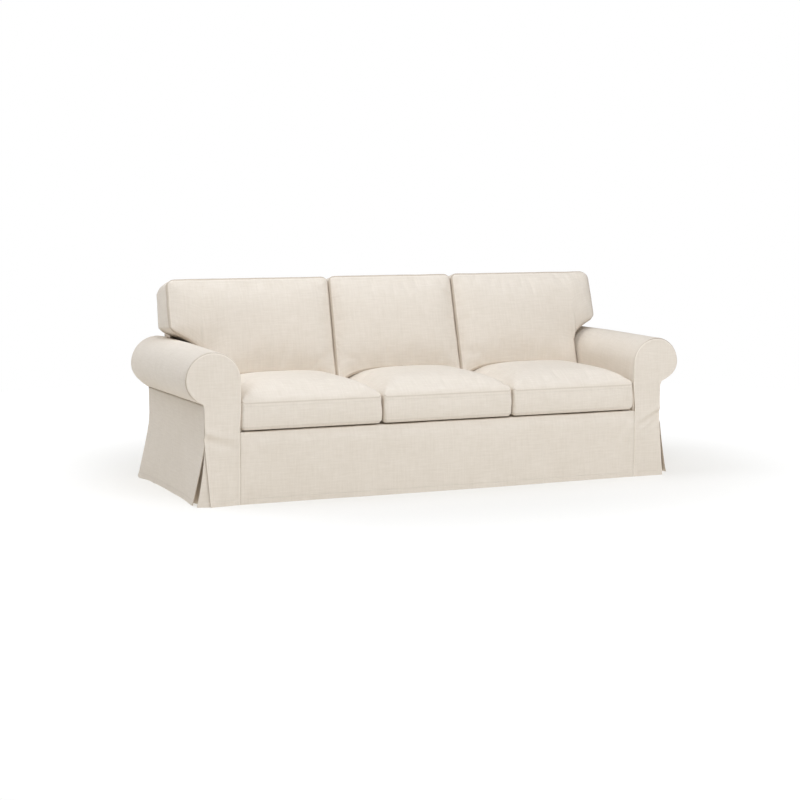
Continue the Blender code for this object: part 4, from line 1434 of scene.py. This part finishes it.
class Cushion:
    """A pattern of lines raised in layers, laid out by shape(u, v, w), blown up and seamed.

    w is 0 on the face and 1 on the underside. cut_out(u, v) is true where the pattern has no cloth, and
    to_seam(u, v) gives the distance to the seams round a face.
    """

    def __init__(self, name, lines_u, lines_v, depth, shape, to_seam, shift, cloth, cut_out=None):
        self.name = name
        self.depth = depth
        close = [distance / depth for distance in BESIDE_CUSHION_SEAM[:5]]
        self.layers = graded(0.0, 1.0, filling().grid / depth, close, close)
        maker = self.raised(lines_u, lines_v, cut_out)
        pattern = {vert: vert.co.copy() for vert in maker.verts}
        self.write_maps(maker, pattern, to_seam, shift)
        for vert in maker.verts:
            vert.co = shape(*vert.co)
        bmesh.ops.recalc_face_normals(maker, faces=maker.faces)
        if maker.calc_volume(signed=True) < 0:
            bmesh.ops.reverse_faces(maker, faces=maker.faces)
        maker.verts.index_update()
        self.spots = []
        for vert in maker.verts:
            u, v, w = pattern[vert]
            inner = min(w, 1 - w)
            boxing = inner > WELD
            seam = inner * depth if boxing else to_seam(u, v)
            self.spots.append(Spot(u, v, w, seam, boxing))
        self.piece = add_piece(name, maker, cloth)

    def raised(self, lines_u, lines_v, cut_out):
        """The pattern as a closed box of w from 0 to 1, with a line at every layer."""
        maker = bmesh.new()
        count_u, count_v = len(lines_u) - 1, len(lines_v) - 1
        bmesh.ops.create_grid(maker, x_segments=count_u, y_segments=count_v, size=0.5)
        for vert in maker.verts:
            column = round((vert.co.x + 0.5) * count_u)
            row = round((vert.co.y + 0.5) * count_v)
            vert.co = Vector((lines_u[column], lines_v[row], 0.0))
        if cut_out:
            gone = [face for face in maker.faces if cut_out(*face.calc_center_median().xy)]
            bmesh.ops.delete(maker, geom=gone, context="FACES")
        cap = list(maker.faces)
        for below, above in zip(self.layers, self.layers[1:]):
            grown = bmesh.ops.extrude_face_region(maker, geom=cap)["geom"]
            if below > 0:
                bmesh.ops.delete(maker, geom=cap, context="FACES")
            cap = [part for part in grown if isinstance(part, bmesh.types.BMFace)]
            moved = [part for part in grown if isinstance(part, bmesh.types.BMVert)]
            bmesh.ops.translate(maker, verts=moved, vec=(0, 0, above - below))
        return maker

    def write_maps(self, maker, pattern, seam_ways, shift):
        """The cloth's map in metres, and the distances to the stitching on the boxing."""
        weave = maker.loops.layers.uv.new("cloth")
        stitching = maker.loops.layers.uv.new("stitches")
        for face in maker.faces:
            corners = [pattern[loop.vert] for loop in face.loops]
            spread = [max(ways) - min(ways) for ways in zip(*corners)]
            on_face = spread[2] < WELD
            along = 0 if spread[0] > spread[1] else 1
            middle_w = sum(corner.z for corner in corners) / len(corners)
            for loop, corner in zip(face.loops, corners):
                if on_face:
                    loop[weave].uv = (corner.x + shift[0], corner.y + shift[1])
                    loop[stitching].uv = (-seam_ways(corner.x, corner.y), 0.0)
                else:
                    loop[weave].uv = (corner[along] + shift[0], corner.z * self.depth + shift[1] + 1.0)
                    inward = corner.z if middle_w < 0.5 else 1 - corner.z
                    loop[stitching].uv = (inward * self.depth, corner[along])

    def seam(self, share):
        """Raises the seams and the bands stitched down beside them, by a share of their full relief."""
        fill = filling()
        mesh = self.piece.data
        normals = [vert.normal.copy() for vert in mesh.vertices]
        for vert, spot, normal in zip(mesh.vertices, self.spots, normals):
            vert.co += normal * share * seam_relief(spot, fill)

    def finish(self, fill_share):
        soft = self.piece.modifiers.new("soft", "SUBSURF")
        soft.levels = soft.render_levels = 1
        declare(self.piece, self.name)


def seam_relief(spot, fill):
    """How far a cushion's cloth stands out at a spot: a ridge at the seam, and a band on the boxing."""
    ridge = fill.ridge * math.exp(-((spot.seam / RIDGE_WIDTH) ** 2))
    groove = fill.groove * math.exp(-(((spot.seam - GROOVE_AT) / GROOVE_WIDTH) ** 2))
    if not spot.boxing:
        return ridge - groove
    band = BAND_RELIEF * smooth((fill.band + BAND_PAST - spot.seam) / BAND_EDGE)
    return ridge + band - GROOVE_ON_BOXING * groove


def blow_up(cushions, reach):
    """Fills the cushions: cloth simulation, in which the seams stay where they are.

    reach(spot) says how far a spot may move at most.
    """
    fill = filling()
    scene = bpy.context.scene
    before = {}
    for cushion in cushions:
        piece = cushion.piece
        held = piece.vertex_groups.new(name="held")
        held.add([i for i, spot in enumerate(cushion.spots) if reach(spot) <= 0], 1.0, "REPLACE")
        filled = piece.modifiers.new("filling", "CLOTH")
        cloth = filled.settings
        cloth.quality = 6
        cloth.mass = 0.25
        cloth.tension_stiffness = cloth.compression_stiffness = 18.0
        cloth.shear_stiffness = 6.0
        cloth.bending_stiffness = 0.25
        cloth.tension_damping = cloth.compression_damping = 8.0
        cloth.vertex_group_mass = "held"
        cloth.shrink_min = cloth.shrink_max = -fill.spare
        cloth.use_pressure = True
        cloth.uniform_pressure_force = fill.pressure
        cloth.effector_weights.gravity = 0.0
        filled.point_cache.frame_start = 1
        filled.point_cache.frame_end = fill.steps
        before[piece] = [vert.co.copy() for vert in piece.data.vertices]
    for step in range(1, fill.steps + 1):
        scene.frame_set(step)
    graph = bpy.context.evaluated_depsgraph_get()
    for cushion in cushions:
        piece = cushion.piece
        blown = piece.evaluated_get(graph).to_mesh()
        ends = [vert.co.copy() for vert in blown.vertices]
        piece.evaluated_get(graph).to_mesh_clear()
        for vert, spot, start, end in zip(piece.data.vertices, cushion.spots, before[piece], ends):
            move = end - start
            most = reach(spot)
            if most > 0 and move.length > WELD:
                vert.co = start + move * (most * math.tanh(move.length / most) / move.length)
        piece.modifiers.remove(piece.modifiers["filling"])
        piece.vertex_groups.remove(piece.vertex_groups["held"])
        piece.data.update()
    scene.frame_set(1)


def swelling(spot, boxing_most):
    """How far the filling may move a spot at most. The seams and the underside stay where they are."""
    if spot.seam < HELD_BY_SEAM or spot.w > HELD_FROM_W:
        return 0.0
    if spot.boxing:
        return boxing_most
    return filling().most * smooth(spot.seam / SWELL_SOFT)


def fill_and_seam(cushions, reach, relief, fill_share):
    blow_up(cushions, reach)
    for cushion in cushions:
        cushion.seam(relief)
        cushion.finish(fill_share)


def starting_crown():
    """The share of its crown that a cushion starts from, and how full its shoulders are."""
    return ((filling().start, SHOULDER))


def seat_cushion(index):
    low, high = SEAT_EXTENTS[index]
    corners = [
        (side_u * SEAM_HALF, 0.0 if side_v < 0 else SEAT_BACK_Y, side_u, side_v, SEAT_CORNER_R)
        for side_u in SIDES
        for side_v in SIDES
    ]
    bottom = DECK_Z + REST
    top, shoulder = starting_crown()
    grid = filling().grid
    beside = BESIDE_CUSHION_SEAM
    lines_u = graded(-SEAM_HALF, SEAM_HALF, grid, beside, beside)
    lines_v = graded(0.0, SEAT_BACK_Y, grid, beside, beside)

    def to_seam(u, v):
        return min(SEAM_HALF - abs(u), v, SEAT_BACK_Y - v)

    def shape(u, v, w):
        x, y = rounded(u, v, corners)
        crown = top * seat_crown(x, y, shoulder) if w == 0 else 0.0
        waver = SEAT_WAVER * noise.noise(Vector((u * 9 + low * 31, v * 9, w * 2)))
        inset = SEAT_FOOT_ROUND * smooth((w - FOOT_ROUND_FROM_W) / FOOT_ROUND_OVER_W) + waver
        bulge = math.sin(math.pi * w)
        x *= 1 + (SEAT_SIDE_SWELL * bulge - inset) / SEAM_HALF
        y += inset * (1 - 2 * y / SEAT_BACK_Y)
        y += (SEAT_SET_BACK - SEAT_FRONT_SWELL * bulge) * smooth(1 - v / SEAT_FRONT_SOFT)
        edge_z = bottom + SEAT_FOOT_LIFT
        if w == 1:
            edge_z = mix(edge_z, bottom, smooth(to_seam(u, v) / SEAT_FOOT_SOFT))
        along = mix(low, high, 0.5 + x / (2 * SEAM_HALF))
        return place(along, y, mix(SEAT_SEAM_Z, edge_z, w) + crown)

    name = f"seat_cushion_{HANDS[index]}"
    shift = (index * 1.7, 9.0)
    return Cushion(name, lines_u, lines_v, SEAT_DEPTH, shape, to_seam, shift, seat_cloth())


def seat_cushions():
    cushions = [seat_cushion(index) for index in HANDS]
    fill_and_seam(cushions, lambda spot: swelling(spot, SEAT_BOXING_MOST), SEAT_SEAM_RELIEF, SEAT_FILL)


def back_point(z, w):
    """A point of a back cushion as (y, z), from the plane of its front seams to its rear plane."""
    drop = BACK_REAR_DROP * smooth((z - BACK_DROP_FROM_Z) / (BACK_TOP_SEAM_Z - BACK_DROP_FROM_Z))
    front_y = BACK_FRONT_Y + BACK_FRONT_LEAN * (z - LEAN_Z)
    return mix(front_y, inside_back_y(z - drop) - REST, w), z - drop * w


def back_cushion(index):
    """A back cushion. Its pattern runs outwards along u; the outer two have an ear over the arm."""
    side = index or 1
    inner = CUSHION_PITCH / 2 - HALF_PARTING
    outer = BACK_ARM_X if index else inner
    far = EAR_X[index] if index else inner
    near = inner + 2 * HALF_PARTING if index else -inner
    facing = Vector((0.0, -1.0, BACK_FRONT_LEAN)).normalized()
    top, shoulder = starting_crown()
    grid = filling().grid
    beside = BESIDE_CUSHION_SEAM
    lines_u = graded(near, outer, grid, beside, beside)
    lines_v = graded(BACK_LOW_Z, EAR_Z, grid, beside, beside)[:-1]
    lines_v += graded(EAR_Z, BACK_TOP_SEAM_Z, grid, beside, beside)
    corners = [
        (near, BACK_TOP_SEAM_Z, -1, 1, BACK_CORNER_R),
        (far, BACK_TOP_SEAM_Z, 1, 1, EAR_TOP_CORNER_R if index else BACK_CORNER_R),
    ]
    if index:
        lines_u += graded(outer, far, grid, beside, beside)[1:]
        corners.append((far, EAR_Z, 1, -1, EAR_LOW_CORNER_R))

    def ear_rise(u, v, w):
        """How much the ear's lower edge has risen here, away from the roll that its rear lies on."""
        rise = clamp((u - outer) / (far - outer)) ** EAR_RISE[side]
        near_ear = smooth((u - outer + EAR_REACH) / EAR_REACH)
        span = BACK_TOP_SEAM_Z - EAR_Z if v >= EAR_Z else EAR_Z - BACK_LOW_Z
        foot = mix(*EAR_FOOT_Z[side], rise) - EAR_Z - EAR_REAR_DROP * w * rise**EAR_REAR_POWER
        return foot * near_ear * max(0.0, 1 - abs(v - EAR_Z) / span)

    def to_seams(u, v):
        """The distances to the seams round a face."""
        found = [u - near, far - u, BACK_TOP_SEAM_Z - v, v - BACK_LOW_Z]
        if index:
            found.append(math.hypot(max(outer - u, 0.0), max(v - EAR_Z, 0.0)))
        return found

    def at_top(z):
        """How near to the top of the cushion a place on its pattern is."""
        return smooth((z - BACK_HIGH_FROM_Z) / BACK_HIGH_OVER)

    def drawn(u, v, w):
        """How far the cloth lies in from the pattern's sides, which waver and bend between corners."""
        share = clamp((v - BACK_LOW_Z) / (BACK_TOP_SEAM_Z - BACK_LOW_Z))
        own_waver = index * 7.1 + (u > near + 0.1) * 3.7
        waver = BACK_SEAM_WAVER * noise.noise(Vector((own_waver, v * 17, w * 3)))
        draw = BACK_SIDE_DRAW * math.sin(math.pi * share) + waver
        if index and u > (near + far) / 2:
            draw = waver + EAR_TOP_DRAW * at_top(v) * (1 - w) + EAR_REAR_IN[side] * w
        across = (u - near) / (far - near)
        gap_low = side * mix(*BACK_GAP_SHIFT[index or -1], share)
        gap_high = 0.0 if index else mix(*BACK_GAP_SHIFT[1], share)
        return draw * (2 * across - 1) - mix(gap_low, gap_high, across)

    def shape(u, v, w):
        x, z = rounded(u, v, corners)
        if index:
            z += ear_rise(u, v, w)
        x -= drawn(u, v, w)
        if v < BACK_LOW_Z + FOOT_LEVEL:
            seat = seat_top(side * x, back_point(z, 0)[0])
            z += (seat + LIFT_OFF_SEAT - BACK_LOW_Z) * (1 - (v - BACK_LOW_Z) / FOOT_LEVEL)
        swell = BACK_SWELL * math.sin(math.pi * w)
        high = clamp(1 + (v - BACK_TOP_SEAM_Z) / EAR_TOP_CORNER_R)
        out = clamp(1 + (u - far) / EAR_TOP_CORNER_R) if index else 0.0
        x += swell * out * math.sqrt(1 - high**2 / 2)
        z += BACK_TOP_SWELL * swell * high * math.sqrt(1 - out**2 / 2)
        z -= BACK_TOP_SUNK[index] * at_top(v)
        waver = BACK_TOP_WAVER * noise.noise(Vector((u * 11, 4.0, index * 5.0)))
        z += waver * smooth((v - WAVER_FROM_Z) / WAVER_OVER)
        where = place(side * x, *back_point(z, w))
        if w == 0:
            where += facing * top * BACK_CROWN * fullness(to_seams(u, v), BACK_FILL_REACH, shoulder)
        return where

    return Cushion(
        f"back_cushion_{HANDS[index]}", lines_u, lines_v, BACK_DEPTH, shape,
        to_seam=lambda u, v: max(0.0, min(to_seams(u, v))),
        shift=(index * 1.9 + 0.33, 12.0),
        cloth=back_cloth(),
        cut_out=(lambda u, v: u > outer and v < EAR_Z) if index else None,
    )


def back_swelling(spot):
    """The same for a spot of a back cushion, whose foot stays too and whose notch calms the faces."""
    if spot.v < BACK_LOW_Z + HELD_FOOT:
        return 0.0
    most = swelling(spot, BACK_BOXING_MOST)
    if spot.boxing:
        return most
    from_notch = math.hypot(spot.u - BACK_ARM_X, spot.v - EAR_Z)
    return most * smooth(from_notch / NOTCH_CALM)


def back_cushions():
    cushions = [back_cushion(index) for index in HANDS]
    fill_and_seam(cushions, back_swelling, BACK_SEAM_RELIEF, BACK_FILL)


# --- the studio ---


def pale_floor():
    """A pale floor that glows a little, and more so far away, so that it runs into the backdrop."""
    looks = bpy.context.scene.slipcover_studio
    recipe = Recipe("pale_floor")
    where = recipe.node("ShaderNodeTexCoord").output("Object")
    away = recipe.node("ShaderNodeVectorMath", {"operation": "LENGTH"}, {0: where}, "Value")
    near = (*[looks.glow * tint for tint in FLOOR_TINT], 1.0)
    far = (looks.far_glow, looks.far_glow, looks.far_glow, 1.0)
    recipe.surface({
        "Emission Color": recipe.blend(recipe.step(away, NEAR_GLOW, FAR_GLOW), near, far),
        "Emission Strength": 1.0,
        "Base Color": (*looks.floor, 1.0),
        "Roughness": 0.95,
    })
    return recipe.material


def pale_backdrop():
    recipe = Recipe("pale_backdrop")
    recipe.surface({
        "Base Color": (0.0, 0.0, 0.0, 1.0),
        "Specular IOR Level": 0.0,
        "Emission Color": (1.0, 1.0, 1.0, 1.0),
        "Emission Strength": 1.0,
    })
    return recipe.material


def lay_floor():
    maker = bmesh.new()
    bmesh.ops.create_circle(maker, cap_ends=True, segments=96, radius=FLOOR_RADIUS)
    add_object("floor", maker, pale_floor())


def hang_backdrop():
    """A white dome that only the camera sees, so that it doesn't light the sofa."""
    maker = bmesh.new()
    bmesh.ops.create_uvsphere(maker, u_segments=48, v_segments=24, radius=STAGE_RADIUS)
    dome = add_object("backdrop", maker, pale_backdrop())
    dome.visible_diffuse = dome.visible_glossy = dome.visible_transmission = False
    dome.visible_volume_scatter = dome.visible_shadow = False


def aim(thing, where, turn):
    """Puts a lamp or the camera in the scene."""
    thing.location = where
    thing.rotation_mode = "QUATERNION"
    thing.rotation_quaternion = turn
    bpy.context.scene.collection.objects.link(thing)


def area_light(name, where, size, power):
    light = bpy.data.lights.new(name, "AREA")
    light.shape = "DISK"
    light.size = size
    light.energy = power
    light.color = LAMP_TINT
    towards = Vector(LIT_POINT) - Vector(where)
    aim(bpy.data.objects.new(name, light), where, towards.to_track_quat("-Z", "Y"))


def set_camera():
    scene = bpy.context.scene
    camera = bpy.data.cameras.new("camera")
    camera.sensor_width = CAMERA_SENSOR
    camera.lens = CAMERA_LENS
    camera.clip_end = CAMERA_SEES
    level = math.cos(CAMERA_ELEVATION)
    back = Vector((
        math.sin(CAMERA_AZIMUTH) * level, -math.cos(CAMERA_AZIMUTH) * level, math.sin(CAMERA_ELEVATION),
    ))
    eye = bpy.data.objects.new("camera", camera)
    aim(eye, CAMERA_AT, back.to_track_quat("Z", "Y"))
    scene.camera = eye
    scene.view_settings.view_transform = "Standard"


def studio():
    scene = bpy.context.scene
    looks = scene.slipcover_studio
    lay_floor()
    hang_backdrop()
    world = bpy.data.worlds.new("soft_white")
    world.use_nodes = True
    sky = world.node_tree.nodes["Background"].inputs
    sky["Color"].default_value = (*SKY_TINT, 1.0)
    sky["Strength"].default_value = looks.sky
    scene.world = world
    for name, where, size, power in LAMPS:
        area_light(name, where, size, power * looks.lamps)
    set_camera()


# --- operators ---


class SLIPCOVER_OT_front_apron(bpy.types.Operator):
    """Cut the apron that hangs down the front between the arms"""

    bl_idname = "slipcover.front_apron"
    bl_label = "Front Apron"
    bl_options = {"REGISTER", "UNDO"}

    def execute(self, context):
        front_apron()
        return {"FINISHED"}


class SLIPCOVER_OT_seat_deck(bpy.types.Operator):
    """Cut the platform under the seat cushions"""

    bl_idname = "slipcover.seat_deck"
    bl_label = "Seat Deck"
    bl_options = {"REGISTER", "UNDO"}

    def execute(self, context):
        seat_deck()
        return {"FINISHED"}


class SLIPCOVER_OT_arm_ends(bpy.types.Operator):
    """Cut the scroll-topped fronts and rear ends of the arms"""

    bl_idname = "slipcover.arm_ends"
    bl_label = "Arm Ends"
    bl_options = {"REGISTER", "UNDO"}

    def execute(self, context):
        arm_ends()
        return {"FINISHED"}


class SLIPCOVER_OT_arm_rolls(bpy.types.Operator):
    """Cut the lengths that wrap the rolls and the insides of the arms"""

    bl_idname = "slipcover.arm_rolls"
    bl_label = "Arm Rolls"
    bl_options = {"REGISTER", "UNDO"}

    def execute(self, context):
        for side in SIDES:
            arm_roll(side)
        return {"FINISHED"}


class SLIPCOVER_OT_arm_sides(bpy.types.Operator):
    """Cut the outside panels of the arms"""

    bl_idname = "slipcover.arm_sides"
    bl_label = "Arm Sides"
    bl_options = {"REGISTER", "UNDO"}

    def execute(self, context):
        for side in SIDES:
            arm_side(side)
        return {"FINISHED"}


class SLIPCOVER_OT_pleats(bpy.types.Operator):
    """Fold the underlays of the four corner pleats"""

    bl_idname = "slipcover.pleats"
    bl_label = "Corner Pleats"
    bl_options = {"REGISTER", "UNDO"}

    def execute(self, context):
        for end in ("front", "rear"):
            for side in SIDES:
                pleat_underlay(end, side)
        return {"FINISHED"}


class SLIPCOVER_OT_back(bpy.types.Operator):
    """Cut the inside, the outside and the boxing of the back"""

    bl_idname = "slipcover.back"
    bl_label = "Back"
    bl_options = {"REGISTER", "UNDO"}

    def execute(self, context):
        back_panels()
        back_band()
        return {"FINISHED"}


class SLIPCOVER_OT_seat_cushions(bpy.types.Operator):
    """Cut, fill and seam the three seat cushions"""

    bl_idname = "slipcover.seat_cushions"
    bl_label = "Seat Cushions"
    bl_options = {"REGISTER", "UNDO"}

    def execute(self, context):
        seat_cushions()
        return {"FINISHED"}


class SLIPCOVER_OT_back_cushions(bpy.types.Operator):
    """Cut, fill and seam the three back cushions"""

    bl_idname = "slipcover.back_cushions"
    bl_label = "Back Cushions"
    bl_options = {"REGISTER", "UNDO"}

    def execute(self, context):
        back_cushions()
        return {"FINISHED"}


class SLIPCOVER_OT_studio(bpy.types.Operator):
    """Lay the floor and set the lights and the camera"""

    bl_idname = "slipcover.studio"
    bl_label = "Studio"
    bl_options = {"REGISTER", "UNDO"}

    def execute(self, context):
        studio()
        return {"FINISHED"}


STEPS = (
    SLIPCOVER_OT_studio,
    SLIPCOVER_OT_front_apron,
    SLIPCOVER_OT_seat_deck,
    SLIPCOVER_OT_arm_ends,
    SLIPCOVER_OT_arm_rolls,
    SLIPCOVER_OT_arm_sides,
    SLIPCOVER_OT_pleats,
    SLIPCOVER_OT_back,
    SLIPCOVER_OT_seat_cushions,
    SLIPCOVER_OT_back_cushions,
)

GROUPS = {
    "slipcover_sewing": SlipcoverSewing,
    "slipcover_filling": SlipcoverFilling,
    "slipcover_cloth": SlipcoverCloth,
    "slipcover_studio": SlipcoverStudio,
}


class SLIPCOVER_PT_panel(bpy.types.Panel):
    """Lists the cover's sizes and colours and the steps that make it"""

    bl_idname = "SLIPCOVER_PT_panel"
    bl_label = "Sofa Slipcover"
    bl_space_type = "VIEW_3D"
    bl_region_type = "UI"
    bl_category = "Slipcover"

    def draw(self, context):
        for group, kind in GROUPS.items():
            box = self.layout.box()
            for name in kind.__annotations__:
                box.prop(getattr(context.scene, group), name)
        for step in STEPS:
            self.layout.operator(step.bl_idname)


def register():
    for kind in (*GROUPS.values(), *STEPS, SLIPCOVER_PT_panel):
        bpy.utils.register_class(kind)
    for name, kind in GROUPS.items():
        setattr(bpy.types.Scene, name, PointerProperty(type=kind))


def unregister():
    for name in GROUPS:
        delattr(bpy.types.Scene, name)
    for kind in reversed((*GROUPS.values(), *STEPS, SLIPCOVER_PT_panel)):
        bpy.utils.unregister_class(kind)


def main():
    register()
    for step in STEPS:
        group, name = step.bl_idname.split(".")
        getattr(getattr(bpy.ops, group), name)()


if __name__ == "__main__":
    main()
